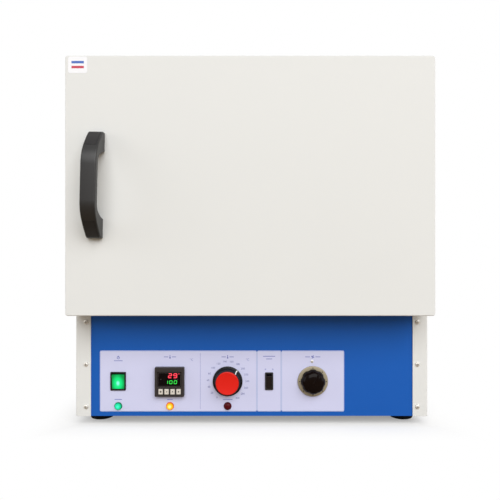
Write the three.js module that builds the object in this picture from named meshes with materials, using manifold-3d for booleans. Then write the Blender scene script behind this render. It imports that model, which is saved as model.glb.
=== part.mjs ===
// Bench-top dry heat sterilizer: a fan-circulated steel oven with an insulated
// hinged door over a blue control fascia. Millimetres, +Z up, the front faces -Y.
// The model stands on z = 0 and is centred on its bounding box in x and y.

import * as THREE from "three";
import { mergeVertices } from "three/addons/utils/BufferGeometryUtils.js";
import Module from "manifold-3d";

const wasm = await Module();
wasm.setup();

// Gaps and modelling allowances
const fit = 0.3; // kept between pieces that touch or slide
const overrun = 2; // how far a cutter runs past the face it opens
const weld = 1e-4; // vertices closer than this are one
const roundSides = 20;
const smallSides = 12;

// Outer shell, folded from one sheet into an upside-down U
const cabinetWidth = 577;
const cabinetHeight = 575.7;
const cabinetDepth = 458;
const shellSheet = 1.5;
const frontReturn = 24.5;
const rearReturn = 15;

// Rubber feet
const footHeight = 15.3;
const footRadius = 19.5;
const footTopRadius = 17;
const footEdgeRound = 2.5;
const footInset = 30.5; // cabinet side to foot centre
const footSetback = 47; // cabinet front or back to foot centre

// Base tray and rear panel
const trayLip = 22;
const traySlotLength = 60;
const traySlotWidth = 6;
const traySlotPitch = 40;
const traySlotRows = 5;
const rearPanelMargin = 3;
const louvreLength = 70;
const louvreWidth = 5;
const louvrePitch = 14;
const louvreRows = 5;
const louvreHeight = 64.2; // base edge to the lowest louvre
const louvreSpread = 95; // cabinet middle to the middle of a louvre bank

// Blue fascia below the door
const fasciaHeight = 188.7;
const fasciaSheet = 1.5;
const fasciaFold = 16;
const screwInset = 16.8; // cabinet side to screw centre
const screwLowest = 15.7; // base edge to the lowest screw
const screwPitch = 69.5;
const screwRows = 3;
const screwHeadRadius = 3.9;
const screwHeadHeight = 2.4;
const screwHeadShares = [
  [0, 1],
  [0.5, 0.92],
  [0.9, 0.5],
  [1, 0],
];
const screwShankRadius = 1.9;
const screwLength = 8;

// Printed polycarbonate label on the fascia, in three panels with rounded corners
const labelInset = 14.5; // inner edge of the shell's return to the label
const labelRise = 7.4; // base edge to the label
const labelHeight = 100;
const labelSheet = 0.5;
const labelCorner = 2.5;
const mainPanelWidth = 258;
const modePanelWidth = 40;
const fanPanelWidth = 103.3;

// Places of the controls, from the left edge of the label
const powerInset = 30.2;
const controllerInset = 115.2;
const thermostatInset = 48.1; // from the right edge of the main panel
const lampDrop = 41; // control line to lamp line

// Rocker switches
const rockerTilt = 9; // degrees either side of its middle
const rockerFront = 7.5; // pivot to the raised ends of the rocker
const rockerDish = 1.5; // how far the middle of the rocker is hollowed
const rockerBack = 4;
const rockerRootHalf = 4;
const rockerShoulder = 2;
const pivotSetback = 3.5; // label face to pivot
const bezelProud = 2;
const bezelCorner = 1.5;
const bezelBevel = 0.6;
const pocketFloor = 9; // label face to the floor of the rocker's pocket
const switchDepth = 24;
const switchSideGap = 0.4;
const swingRoom = 1.6; // above and below the rocker
const powerBezelWidth = 25.6;
const powerBezelHeight = 30.4;
const powerBodyWidth = 22.4;
const powerBodyHeight = 27.6;
const powerRockerWidth = 19.8;
const powerRockerHeight = 22.6;
const modeBezelWidth = 13.6;
const modeBezelHeight = 29;
const modeBodyWidth = 11;
const modeBodyHeight = 26.6;
const modeRockerWidth = 8.4;
const modeRockerHeight = 21.4;

// Temperature controller, 48 mm square
const controllerSize = 48;
const controllerCorner = 1.5;
const controllerProud = 8;
const controllerBevel = 0.8;
const controllerBodySize = 44.6;
const controllerBodyDepth = 70;
const windowWidth = 38.4;
const windowHeight = 23.6;
const windowRise = 4.4; // controller middle to window middle
const windowSheet = 1;
const windowRecess = 1.4;
const keyWidth = 7.1;
const keyHeight = 8.8;
const keyDepth = 3.2;
const keyCorner = 0.8;
const keyPocket = 3.9;
const keyPitch = 9.7;
const keyCount = 4;
const keyDrop = 15.6; // controller middle to the line of keys
const keyShift = 0.4;

// Safety thermostat and its knob
const knobSides = 32;
const knobGap = 1; // label face to the back of a knob
const spindleRadius = 3;
const spindleReach = 14; // label face to the spindle's inner end
const spindleSlack = 0.4;
const skirtRadius = 24.4;
const skirtHeight = 2;
const gripRadius = 20.4;
const gripFoot = 5; // back of the knob to the foot of its grip
const gripTipRadius = 19.7;
const thermostatKnobHeight = 15;
const capRadius = 18.7;
const capSocket = 1.8;
const capProud = 1.2;
const capEdge = 1;
const thermostatBodyWidth = 38;
const thermostatBodyHeight = 44;
const thermostatBodyDepth = 34;

// Fan regulator, its dial and its knob
const dialRadius = 25;
const dialThickness = 2.6;
const dialEdge = 0.8;
const fanKnobRadius = 20.2;
const fanKnobHeight = 14;
const domeShares = [
  [1, 0],
  [1, 0.22],
  [0.93, 0.55],
  [0.76, 0.8],
  [0.48, 0.94],
  [0, 1],
];
const fanHollowCount = 8;
const fanHollowRadius = 14;
const fanHollowDepth = 0.9;
const fanHollowSides = 28;
const fanHollowTurnShare = 0.5; // the first hollow's place, as a share of their spacing
const pointerWidth = 6;
const pointerCorner = 2;
const fanPointerAngle = 30; // degrees clockwise from the top, seen from the front
const regulatorSize = 32;
const regulatorDepth = 22;

// Neon lamps
const lampLensRadius = 6.5;
const lampProud = 5;
const lampRim = 1.2;
const lampDomeShares = [
  [0, 1],
  [0.45, 0.92],
  [0.8, 0.66],
];
const lampBodyRadius = 4.8;
const lampBodyDepth = 24;

// Stainless chamber, set into the cabinet behind its insulation
const wallSpace = 58.5; // cabinet side to chamber wall
const roofSpace = 53; // cabinet top to chamber roof
const chamberSheet = 1.2;
const chamberSill = 34; // fascia top to chamber floor
const flangeJoint = 1; // between the fascia's top and the chamber's frame
const flangeClearance = 0.6;

// Mineral wool jacket
const jacketBack = 45;
const jacketBelow = 44; // chamber floor to the jacket's underside

// Air baffle and plenum at the back of the chamber
const plenumDepth = 35;
const baffleGap = 0.5;
const grilleRingCount = 4;
const grilleRingHoleCount = 6; // holes that each ring adds
const grilleHoleRadius = 4;
const grillePitch = 17;
const outletLength = 22;
const outletWidth = 8;
const outletPitch = 34;
const outletCount = 7;
const outletInset = 26;

// Circulating fan
const impellerRadius = 74;
const impellerDisc = 1.5;
const impellerWidth = 20;
const impellerSetback = 6; // plenum back to the impeller's disc
const bladeCount = 8;
const bladeSheet = 1.5;
const bladeInner = 34;
const hubRadius = 11;
const fanShaftRadius = 4;
const fanShaftSlack = 0.5;
const fanShaftGrip = 16; // how far the shaft runs into the motor
const motorRadius = 40;
const motorLength = 28;
const motorPlateSize = 104;
const motorPlateSheet = 1.5;
const motorRoom = 10.2; // end of the motor to the rear panel

// Tubular heating element, a ring around the fan
const elementRadius = 4;
const elementRingRadius = 98;
const elementSetback = 15; // plenum back to the ring
const elementEndSpread = 22; // fan axis to each terminal, sideways
const elementBend = 12;
const elementTail = 10; // how far the terminals stand out of the jacket
const elementSides = 6;
const elementStepCount = 64;

// Shelf runners and wire shelves
const runnerSheet = 1.5;
const runnerLedge = 15;
const runnerPostWidth = 14;
const runnerSetback = 16; // chamber mouth to runner
const runnerRearGap = 19; // runner to the air baffle
const ledgeCount = 5;
const runnerLowest = 40; // chamber floor to the lowest ledge
const runnerTopRoom = 60; // highest ledge to the chamber roof
const runnerPostMargin = 14; // post above the highest ledge and below the lowest
const lowerShelfLedgeCount = 1; // ledges below the one that it lies on
const upperShelfLedgeCount = 3;
const shelfFrameRadius = 3;
const shelfWireRadius = 1.6;
const shelfSideGap = 5; // chamber wall to shelf frame
const shelfEndGap = 5; // runner's end to shelf
const shelfWireCount = 13;
const wireSides = 6;

// Sensors, on the right wall clear of the shelves
const sensorRadius = 3;
const bulbRadius = 4;
const sensorInset = 7.5; // chamber wall to the sensors' axis
const sensorLift = 6; // highest ledge to the lower sensor
const sensorSpacing = 16;
const sensorReach = 46; // baffle to the sensors' tips
const sensorClipSheet = 1.5;
const sensorClipMargin = 2.4;
const sensorTail = 8; // how far the tails stand out of the jacket

// Exhaust vent and its swinging damper
const ventRadius = 12.5;
const ventWall = 1.5;
const ventSideways = 120; // fan axis to vent
const ventRoofGap = 32; // chamber roof to vent
const ventProud = 6;
const ventPlateWidth = 74;
const ventPlateHeight = 40;
const ventPlateSheet = 1.5;
const damperPinSpread = 24; // vent axis to damper pivot
const damperPinRadius = 2.5;
const damperSlack = 0.35;
const damperSheet = 2;
const damperRadius = 15;
const damperGripHeight = 9;
const damperGripWidth = 4;
const damperGripLength = 20;

// Cable gland
const glandInset = 88.5; // cabinet side to gland
const glandRise = 42.2;
const glandBore = 4.5;
const glandRadius = 11;
const glandNutRadius = 14;
const glandNutHeight = 6;
const glandProud = 24;
const glandNeckShare = 0.7; // of the gland's reach, to where its nose narrows
const glandThreadRadius = 9.6;
const glandInner = 12;
const glandSides = 16;

// Insulated door
const doorLeftMargin = 2.5; // cabinet side to door edge
const doorRightMargin = 7.5;
const doorTopMargin = 5;
const doorDepth = 52;
const doorSheet = 1.5;
const doorReturn = 30;
const doorGap = 6; // cabinet front to the back of the door's shell
const doorOverlap = 17; // how far the door hangs below the fascia's top
const doorEdge = 1.2; // rounding of the folds around the door's front and back
const doorCorner = 2.6; // rounding of the corners seen from the front
const plugMargin = 13; // chamber wall to the door's inner plug
const plugDepth = 12;
const plugSlope = 3;
const doorLinerSheet = 1.2;
const doorLinerMargin = 18; // door edge to liner edge
const woolGap = 0.6;
const sealMargin = 10; // chamber wall to seal
const sealWidth = 12;
const sealRound = 2;

// Pull handle and its screw caps
const handleInset = 48.6; // door edge to handle
const handleLength = 162;
const handleWidth = 23;
const handleHeight = 46;
const handleBar = 11;
const handleFoot = 29.5;
const handleEnd = 11; // height of the upright end face
const handleEndRound = 5;
const handleSlopeRun = 25.5; // from the end to the top of the sloping cap face
const handleSlopeRise = 23;
const handleShoulder = 15; // from the cap face to the straight bar
const handleShoulderRound = 14;
const handleCrown = 3; // how far the sloping end's curve is drawn out
const handleBevel = 2.2;
const capThickness = 2.4;
const capInset = 3; // handle side to cap side
const handleLean = 1.3; // degrees, the upper end towards the hinges

// Lift-off hinges
const hingeHeight = 64;
const hingeInset = 62; // door top or bottom to hinge middle
const hingeBarrelRadius = 5;
const hingePinRadius = 2.4;
const hingePinSlack = 0.4;
const hingePinLength = 26;
const hingeLeafSheet = 2.4;
const hingeLeafLength = 30;
const hingeSideGap = 0.8; // cabinet side to barrel
const hingeJoint = 0.5; // between the two halves of a barrel
const hingeSetForward = 3; // cabinet front to pin

// Magnetic catch behind the handle edge of the door
const catchWidth = 12;
const catchHeight = 60;
const catchInset = 4; // cabinet side to catch

const materials = {
  creamPaint: new THREE.MeshStandardMaterial({ color: "#e6e1d6", roughness: 0.45, metalness: 0 }),
  bluePaint: new THREE.MeshStandardMaterial({ color: "#1f5db0", roughness: 0.4, metalness: 0 }),
  label: new THREE.MeshStandardMaterial({ color: "#cdd2ea", roughness: 0.5, metalness: 0 }),
  stainless: new THREE.MeshStandardMaterial({ color: "#b9bbbd", roughness: 0.3, metalness: 1 }),
  chrome: new THREE.MeshStandardMaterial({ color: "#d5d7d9", roughness: 0.15, metalness: 1 }),
  zincSteel: new THREE.MeshStandardMaterial({ color: "#9fa3a6", roughness: 0.4, metalness: 1 }),
  wool: new THREE.MeshStandardMaterial({ color: "#c9b778", roughness: 1, metalness: 0 }),
  blackNylon: new THREE.MeshStandardMaterial({ color: "#2a2a2b", roughness: 0.55, metalness: 0 }),
  blackGloss: new THREE.MeshStandardMaterial({ color: "#141213", roughness: 0.15, metalness: 0 }),
  redPlastic: new THREE.MeshStandardMaterial({ color: "#e3251c", roughness: 0.4, metalness: 0 }),
  greenLens: new THREE.MeshStandardMaterial({ color: "#12c45c", roughness: 0.2, metalness: 0 }),
  amberLens: new THREE.MeshStandardMaterial({ color: "#ffc21c", roughness: 0.2, metalness: 0 }),
  darkRedLens: new THREE.MeshStandardMaterial({ color: "#5a0f14", roughness: 0.2, metalness: 0 }),
  dialMetal: new THREE.MeshStandardMaterial({ color: "#b5ad97", roughness: 0.35, metalness: 1 }),
  keyRubber: new THREE.MeshStandardMaterial({ color: "#d6cfc4", roughness: 0.6, metalness: 0 }),
  displayGlass: new THREE.MeshStandardMaterial({ color: "#100a0c", roughness: 0.1, metalness: 0 }),
  rubber: new THREE.MeshStandardMaterial({ color: "#151515", roughness: 0.8, metalness: 0 }),
  silicone: new THREE.MeshStandardMaterial({ color: "#8c3a2b", roughness: 0.7, metalness: 0 }),
  magnet: new THREE.MeshStandardMaterial({ color: "#3b3a38", roughness: 0.7, metalness: 0 }),
};

// A closed three.js geometry as a solid that can be cut and joined.
function toSolid(geometry) {
  const bare = geometry.index ? geometry.toNonIndexed() : geometry.clone();
  bare.deleteAttribute("normal");
  bare.deleteAttribute("uv");
  const merged = mergeVertices(bare, weld);
  const corners = [];
  for (let i = 0; i < merged.index.count; i += 3) {
    const [a, b, c] = merged.index.array.slice(i, i + 3);
    if (a !== b && b !== c && c !== a) corners.push(a, b, c);
  }
  return new wasm.Manifold(
    new wasm.Mesh({
      numProp: 3,
      vertProperties: merged.attributes.position.array,
      triVerts: new Uint32Array(corners),
    }),
  );
}

function toGeometry(solid) {
  const cut = solid.getMesh();
  const geometry = new THREE.BufferGeometry();
  geometry.setAttribute("position", new THREE.BufferAttribute(cut.vertProperties, cut.numProp));
  geometry.setIndex(new THREE.BufferAttribute(cut.triVerts, 1));
  geometry.computeVertexNormals();
  return geometry;
}

const either = (half) => [-half, half];
const around = (middle, size) => [middle - size / 2, middle + size / 2];

// A box between the low and high values given for each axis.
function block(x, y, z) {
  const box = new THREE.BoxGeometry(x[1] - x[0], y[1] - y[0], z[1] - z[0]);
  box.translate((x[0] + x[1]) / 2, (y[0] + y[1]) / 2, (z[0] + z[1]) / 2);
  return toSolid(box);
}

// A round bar along Y at the place [x, z].
function barY(radius, [x, z], y, sides = smallSides) {
  const bar = new THREE.CylinderGeometry(radius, radius, y[1] - y[0], sides);
  bar.translate(x, (y[0] + y[1]) / 2, z);
  return toSolid(bar);
}

// A round bar along Z at the place [x, y].
function barZ(radius, [x, y], z, sides = smallSides) {
  const bar = new THREE.CylinderGeometry(radius, radius, z[1] - z[0], sides);
  bar.rotateX(Math.PI / 2);
  bar.translate(x, y, (z[0] + z[1]) / 2);
  return toSolid(bar);
}

// A round bar along X at the place [y, z].
function barX(radius, [y, z], x, sides = smallSides) {
  const bar = new THREE.CylinderGeometry(radius, radius, x[1] - x[0], sides);
  bar.rotateZ(Math.PI / 2);
  bar.translate((x[0] + x[1]) / 2, y, z);
  return toSolid(bar);
}

// A profile of [radius, y] points turned about the Y axis.
function turned(profile, sides = roundSides) {
  let area = 0;
  profile.forEach(([r, y], i) => {
    const [r2, y2] = profile[(i + 1) % profile.length];
    area += r * y2 - r2 * y;
  });
  const ordered = area < 0 ? [...profile].reverse() : profile;
  const points = ordered.map(([r, y]) => new THREE.Vector2(r, y));
  return toSolid(new THREE.LatheGeometry(points, sides));
}

// The same profile closed on itself, for a piece with a hole along its axis.
const turnedRing = (profile, sides) => turned([...profile, profile[0]], sides);

function roundedRectangle(x, z, radius) {
  const outline = new THREE.Shape();
  outline.moveTo(x[0] + radius, z[0]);
  outline.lineTo(x[1] - radius, z[0]);
  outline.absarc(x[1] - radius, z[0] + radius, radius, -Math.PI / 2, 0);
  outline.absarc(x[1] - radius, z[1] - radius, radius, 0, Math.PI / 2);
  outline.absarc(x[0] + radius, z[1] - radius, radius, Math.PI / 2, Math.PI);
  outline.absarc(x[0] + radius, z[0] + radius, radius, Math.PI, Math.PI * 1.5);
  return outline;
}

// An outline drawn in x and z, given thickness from y[0] back to y[1], with an
// optional bevel around its front and back edges.
function plate(outline, y, bevel = 0, curveSegments = 4) {
  const made = new THREE.ExtrudeGeometry(outline, {
    depth: y[1] - y[0] - 2 * bevel,
    curveSegments,
    bevelEnabled: bevel > 0,
    bevelThickness: bevel,
    bevelSize: bevel,
    bevelOffset: -bevel,
    bevelSegments: 2,
  });
  made.rotateX(Math.PI / 2);
  made.translate(0, y[1] - bevel, 0);
  return toSolid(made);
}

// An outline drawn in y and z, given width along x.
function sweptAcross(outline, x, bevel = 0, curveSegments = 6) {
  const made = new THREE.ExtrudeGeometry(outline, {
    depth: x[1] - x[0] - 2 * bevel,
    curveSegments,
    bevelEnabled: bevel > 0,
    bevelThickness: bevel,
    bevelSize: bevel,
    bevelOffset: -bevel,
    bevelSegments: 2,
  });
  const across = new THREE.Matrix4().makeBasis(
    new THREE.Vector3(0, 1, 0),
    new THREE.Vector3(0, 0, 1),
    new THREE.Vector3(1, 0, 0),
  );
  made.applyMatrix4(across);
  made.translate(x[0] + bevel, 0, 0);
  return toSolid(made);
}

const joined = (pieces) => pieces.reduce((whole, piece) => whole.add(piece));
const without = (solid, cutters) => cutters.reduce((left, cutter) => left.subtract(cutter), solid);
const rowOf = (count) => Array.from({ length: count }, (_, i) => i);
const centred = (count, pitch) => rowOf(count).map((i) => (i - (count - 1) / 2) * pitch);

function addPiece(group, name, solid, material, place = [0, 0, 0]) {
  const mesh = new THREE.Mesh(toGeometry(solid), material);
  mesh.name = name;
  mesh.position.set(...place);
  group.add(mesh);
  return mesh;
}

// Planes and places that several pieces share, in the cabinet's own frame:
// x from the middle, y from the front face of the shell, z from the bench
const halfWidth = cabinetWidth / 2;
const baseLevel = footHeight;
const cabinetTop = baseLevel + cabinetHeight;
const fasciaFront = shellSheet + fit;
const fasciaBack = fasciaFront + fasciaSheet;
const fasciaTop = baseLevel + fasciaHeight;
const insideHalf = halfWidth - shellSheet - flangeClearance;
const labelLeft = -halfWidth + frontReturn + labelInset;
const labelBottom = baseLevel + labelRise;
const controlLine = labelBottom + labelHeight / 2;
const labelFace = fasciaFront - labelSheet;
const powerX = labelLeft + powerInset;
const controllerX = labelLeft + controllerInset;
const thermostatX = labelLeft + mainPanelWidth - thermostatInset;
const modeLeft = labelLeft + mainPanelWidth;
const fanLeft = modeLeft + modePanelWidth;
const modeX = modeLeft + modePanelWidth / 2;
const fanX = fanLeft + fanPanelWidth / 2;
const chamberFloor = fasciaTop + chamberSill;
const chamberTop = cabinetTop - roofSpace;
const chamberHalf = halfWidth - wallSpace;
const chamberFront = fasciaFront;
const rearPanelFace = cabinetDepth;
const motorPlateFace = rearPanelFace - motorRoom - motorLength - motorPlateSheet;
const jacketEnd = motorPlateFace - fit;
const chamberBack = jacketEnd - jacketBack - chamberSheet;
const baffleFace = chamberBack - plenumDepth;
const fanHeight = (chamberFloor + chamberTop) / 2;
const screwHeights = rowOf(screwRows).map((i) => baseLevel + screwLowest + i * screwPitch);
const rearPanelBack = cabinetDepth + shellSheet;
const ventPlace = [ventSideways, chamberTop - ventRoofGap];
const ledgeSpan = chamberTop - runnerTopRoom - chamberFloor - runnerLowest;
const ledgePitch = ledgeSpan / (ledgeCount - 1);
const ledgeHeights = rowOf(ledgeCount).map((i) => chamberFloor + runnerLowest + i * ledgePitch);
const sensorX = chamberHalf - sensorInset;
const bulbHeight = ledgeHeights[ledgeCount - 1] + sensorLift;
const sensorPlaces = [
  [sensorX, bulbHeight + sensorSpacing],
  [sensorX, bulbHeight],
];
const glandPlace = [-halfWidth + glandInset, baseLevel + glandRise];
const hingeX = halfWidth + hingeSideGap + hingeBarrelRadius;
const hingeY = -hingeSetForward;
const doorBottom = fasciaTop - doorOverlap;
const doorHeight = cabinetTop - doorTopMargin - doorBottom;
const doorWidth = cabinetWidth - doorLeftMargin - doorRightMargin;
const doorShift = (doorLeftMargin - doorRightMargin) / 2;

// Body of a panel-mounted part: every opening for it is its own size and a fit
const powerCutout = [powerBodyWidth + 2 * fit, powerBodyHeight + 2 * fit];
const modeCutout = [modeBodyWidth + 2 * fit, modeBodyHeight + 2 * fit];
const controllerCutout = controllerBodySize + 2 * fit;

function panelOpenings(y) {
  const lampLine = controlLine - lampDrop;
  const lampHole = lampBodyRadius + fit;
  const spindleHole = spindleRadius + spindleSlack;
  return [
    block(around(powerX, powerCutout[0]), y, around(controlLine, powerCutout[1])),
    block(around(modeX, modeCutout[0]), y, around(controlLine, modeCutout[1])),
    block(around(controllerX, controllerCutout), y, around(controlLine, controllerCutout)),
    barY(spindleHole, [thermostatX, controlLine], y),
    barY(spindleHole, [fanX, controlLine], y),
    ...[powerX, controllerX, thermostatX].map((x) => barY(lampHole, [x, lampLine], y, roundSides)),
  ];
}

const screwHoles = (radius, y) =>
  [-1, 1].flatMap((side) =>
    screwHeights.map((z) => barY(radius, [side * (halfWidth - screwInset), z], y)),
  );

const oven = new THREE.Group();
const cabinet = new THREE.Group();
oven.add(cabinet);

// Outer shell: sides, top and the narrow returns folded in at front and back
function outerShell() {
  const inner = halfWidth - shellSheet;
  const frontMouth = halfWidth - frontReturn;
  const rearMouth = halfWidth - rearReturn;
  const below = baseLevel - overrun;
  return without(block(either(halfWidth), [0, cabinetDepth], [baseLevel, cabinetTop]), [
    block(either(inner), [shellSheet, cabinetDepth - shellSheet], [below, cabinetTop - shellSheet]),
    block(either(frontMouth), [-overrun, shellSheet + overrun], [below, cabinetTop - frontReturn]),
    block(
      either(rearMouth),
      [cabinetDepth - shellSheet - overrun, cabinetDepth + overrun],
      [below, cabinetTop - rearReturn],
    ),
    ...screwHoles(screwShankRadius + fit, [-overrun, shellSheet + overrun]),
  ]);
}
addPiece(cabinet, "outer_shell", outerShell(), materials.creamPaint);

// Base tray with upturned lips and cooling slots, carried between the shell's sides
function baseTray() {
  const half = halfWidth - shellSheet - fit;
  const y = [fasciaBack + fit, cabinetDepth - shellSheet - fit];
  const tray = block(either(half), y, [baseLevel, baseLevel + trayLip]);
  const hollow = block(
    either(half - shellSheet),
    [y[0] - overrun, y[1] - shellSheet],
    [baseLevel + shellSheet, baseLevel + trayLip + overrun],
  );
  const middle = (y[0] + y[1]) / 2;
  const slots = [-1, 1].flatMap((side) =>
    centred(traySlotRows, traySlotPitch).map((offset) =>
      block(
        around((side * half) / 2, traySlotLength),
        around(middle + offset, traySlotWidth),
        [baseLevel - overrun, baseLevel + shellSheet + overrun],
      ),
    ),
  );
  return without(tray, [hollow, ...slots]);
}
addPiece(cabinet, "base_tray", baseTray(), materials.zincSteel);

// Four moulded rubber feet under the tray
function foot() {
  const profile = [
    [0, 0],
    [footRadius - footEdgeRound, 0],
    [footRadius, footEdgeRound],
    [footTopRadius, footHeight],
    [0, footHeight],
  ];
  return turned(profile).rotate([90, 0, 0]);
}
const footShape = foot();
for (const [side, sideName] of [[-1, "left"], [1, "right"]]) {
  for (const [y, endName] of [[footSetback, "front"], [cabinetDepth - footSetback, "rear"]]) {
    const place = [side * (halfWidth - footInset), y, 0];
    addPiece(cabinet, `${endName}_${sideName}_foot`, footShape, materials.rubber, place);
  }
}

// Rear panel with louvre slots and the holes for the vent and the gland
function rearPanel() {
  const half = halfWidth - rearPanelMargin;
  const y = [rearPanelFace, rearPanelBack];
  const through = [y[0] - overrun, y[1] + overrun];
  const louvres = [-1, 1].flatMap((side) =>
    rowOf(louvreRows).map((i) => {
      const z = baseLevel + louvreHeight + i * louvrePitch;
      return block(around(side * louvreSpread, louvreLength), through, around(z, louvreWidth));
    }),
  );
  const edge = [baseLevel + rearPanelMargin, cabinetTop - rearPanelMargin];
  return without(block(either(half), y, edge), [
    ...louvres,
    barY(ventRadius + fit, ventPlace, through, roundSides),
    barY(glandThreadRadius + fit, glandPlace, through, glandSides),
  ]);
}
addPiece(cabinet, "rear_panel", rearPanel(), materials.creamPaint);

// Blue fascia, folded back along its top and bottom edges
function fascia() {
  const x = either(insideHalf);
  const folded = [fasciaFront, fasciaBack + fasciaFold];
  const through = [fasciaFront - overrun, fasciaBack + overrun];
  const bottomFold = [baseLevel + shellSheet + fit, baseLevel + shellSheet + fit + fasciaSheet];
  const trayHalf = halfWidth - 2 * shellSheet - 2 * fit;
  const front = block(x, [fasciaFront, fasciaBack], [baseLevel, fasciaTop]);
  const top = block(x, folded, [fasciaTop - fasciaSheet, fasciaTop]);
  const bottom = block(either(trayHalf), folded, bottomFold);
  return without(joined([front, top, bottom]), [
    ...panelOpenings(through),
    ...screwHoles(screwShankRadius + fit, through),
  ]);
}
addPiece(cabinet, "fascia_panel", fascia(), materials.bluePaint);

// Pan-head screws that fix the fascia behind the shell's front returns
function flangeScrew() {
  const tip = screwLength - screwHeadHeight;
  const head = screwHeadShares.map(([r, y]) => [r * screwHeadRadius, -y * screwHeadHeight]);
  const profile = [
    ...head,
    [screwShankRadius, 0],
    [screwShankRadius, tip],
    [0, tip],
  ];
  return turned(profile, smallSides);
}
const screwShape = flangeScrew();
const screwNames = ["lower", "middle", "upper"];
for (const [side, sideName] of [[-1, "left"], [1, "right"]]) {
  screwHeights.forEach((z, i) => {
    const place = [side * (halfWidth - screwInset), 0, z];
    addPiece(cabinet, `${screwNames[i]}_${sideName}_screw`, screwShape, materials.chrome, place);
  });
}

// One printed label in three panels, notched where their rounded corners meet
const labelTop = labelBottom + labelHeight;
const labelPanels = [
  [labelLeft, modeLeft],
  [modeLeft, fanLeft],
  [fanLeft, fanLeft + fanPanelWidth],
].map((x) => {
  const outline = roundedRectangle(x, [labelBottom, labelTop], labelCorner);
  return plate(outline, [labelFace, fasciaFront]);
});
const labelOpenings = panelOpenings([labelFace - overrun, fasciaFront + overrun]);
addPiece(cabinet, "control_label", without(joined(labelPanels), labelOpenings), materials.label);

// A rocker switch: its bezel and body stand in the panel, its rocker in a pocket
function switchBody(bezel, body, rocker) {
  const front = plate(
    roundedRectangle(either(bezel[0] / 2), either(bezel[1] / 2), bezelCorner),
    [-bezelProud, 0],
    bezelBevel,
    2,
  );
  const behind = block(either(body[0] / 2), [-bezelProud / 2, switchDepth], either(body[1] / 2));
  const pocket = block(
    either(rocker[0] / 2 + switchSideGap),
    [-bezelProud - overrun, pocketFloor],
    either(rocker[1] / 2 + swingRoom),
  );
  return front.add(behind).subtract(pocket);
}

// The rocker is dished, and rests with its lower end pressed in.
function switchRocker(rocker) {
  const half = rocker[1] / 2;
  const outline = new THREE.Shape();
  outline.moveTo(-rockerFront, -half);
  outline.lineTo(-rockerShoulder, -half);
  outline.lineTo(rockerBack, -rockerRootHalf);
  outline.lineTo(rockerBack, rockerRootHalf);
  outline.lineTo(-rockerShoulder, half);
  outline.lineTo(-rockerFront, half);
  outline.quadraticCurveTo(-rockerFront + 2 * rockerDish, 0, -rockerFront, -half);
  return sweptAcross(outline, either(rocker[0] / 2)).rotate([rockerTilt, 0, 0]);
}

const panel = new THREE.Group();
panel.position.set(0, labelFace, controlLine);
cabinet.add(panel);
const powerBody = [powerBodyWidth, powerBodyHeight];
const powerBezel = [powerBezelWidth, powerBezelHeight];
const powerRocker = [powerRockerWidth, powerRockerHeight];
const modeBody = [modeBodyWidth, modeBodyHeight];
const modeBezel = [modeBezelWidth, modeBezelHeight];
const modeRocker = [modeRockerWidth, modeRockerHeight];
const powerSwitch = switchBody(powerBezel, powerBody, powerRocker);
const modeSwitch = switchBody(modeBezel, modeBody, modeRocker);
const powerPivot = [powerX, pivotSetback, 0];
const modePivot = [modeX, pivotSetback, 0];
addPiece(panel, "power_switch_body", powerSwitch, materials.blackNylon, [powerX, 0, 0]);
addPiece(panel, "power_rocker", switchRocker(powerRocker), materials.greenLens, powerPivot);
addPiece(panel, "mode_switch_body", modeSwitch, materials.blackNylon, [modeX, 0, 0]);
addPiece(panel, "mode_rocker", switchRocker(modeRocker), materials.blackGloss, modePivot);

// Temperature controller: a square bezel, a window and four keys
const controller = new THREE.Group();
controller.position.set(controllerX, 0, 0);
panel.add(controller);
const keyPlaces = centred(keyCount, keyPitch).map((x) => [x + keyShift, -keyDrop]);

function controllerCase() {
  const half = controllerSize / 2;
  const bezel = plate(
    roundedRectangle(either(half), either(half), controllerCorner),
    [-controllerProud, 0],
    controllerBevel,
    2,
  );
  const bodyHalf = controllerBodySize / 2;
  const body = block(
    either(bodyHalf),
    [-controllerProud / 2, controllerBodyDepth],
    either(bodyHalf),
  );
  const inFront = -controllerProud - overrun;
  const recess = block(
    either(windowWidth / 2 + fit),
    [inFront, windowRecess - controllerProud],
    around(windowRise, windowHeight + 2 * fit),
  );
  const pockets = keyPlaces.map(([x, z]) =>
    block(
      around(x, keyWidth + 2 * fit),
      [inFront, keyPocket - controllerProud],
      around(z, keyHeight + 2 * fit),
    ),
  );
  return without(bezel.add(body), [recess, ...pockets]);
}
addPiece(controller, "controller_case", controllerCase(), materials.blackNylon);

const windowFront = windowRecess - fit - windowSheet - controllerProud;
const windowPlate = block(
  either(windowWidth / 2),
  [windowFront, windowFront + windowSheet],
  around(windowRise, windowHeight),
);
addPiece(controller, "controller_window", windowPlate, materials.displayGlass);

const keyShape = plate(
  roundedRectangle(either(keyWidth / 2), either(keyHeight / 2), keyCorner),
  [0, keyDepth],
  0,
  2,
);
const keyNames = ["page_key", "down_key", "up_key", "set_key"];
keyPlaces.forEach(([x, z], i) => {
  // Travel is left between the back of each key and the floor of its pocket.
  const place = [x, keyPocket - 2 * fit - keyDepth - controllerProud, z];
  addPiece(controller, keyNames[i], keyShape, materials.keyRubber, place);
});

// Safety thermostat: the body behind the fascia, the skirted knob with its
// spindle, and the red cap set into the front of the knob
const behindFascia = fasciaBack - labelFace + fit;
function controlBody(width, height, depth) {
  const back = behindFascia + depth;
  const body = block(either(width / 2), [behindFascia, back], either(height / 2));
  const bore = [behindFascia - overrun, spindleReach + fit];
  return body.subtract(barY(spindleRadius + spindleSlack, [0, 0], bore));
}

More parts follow.
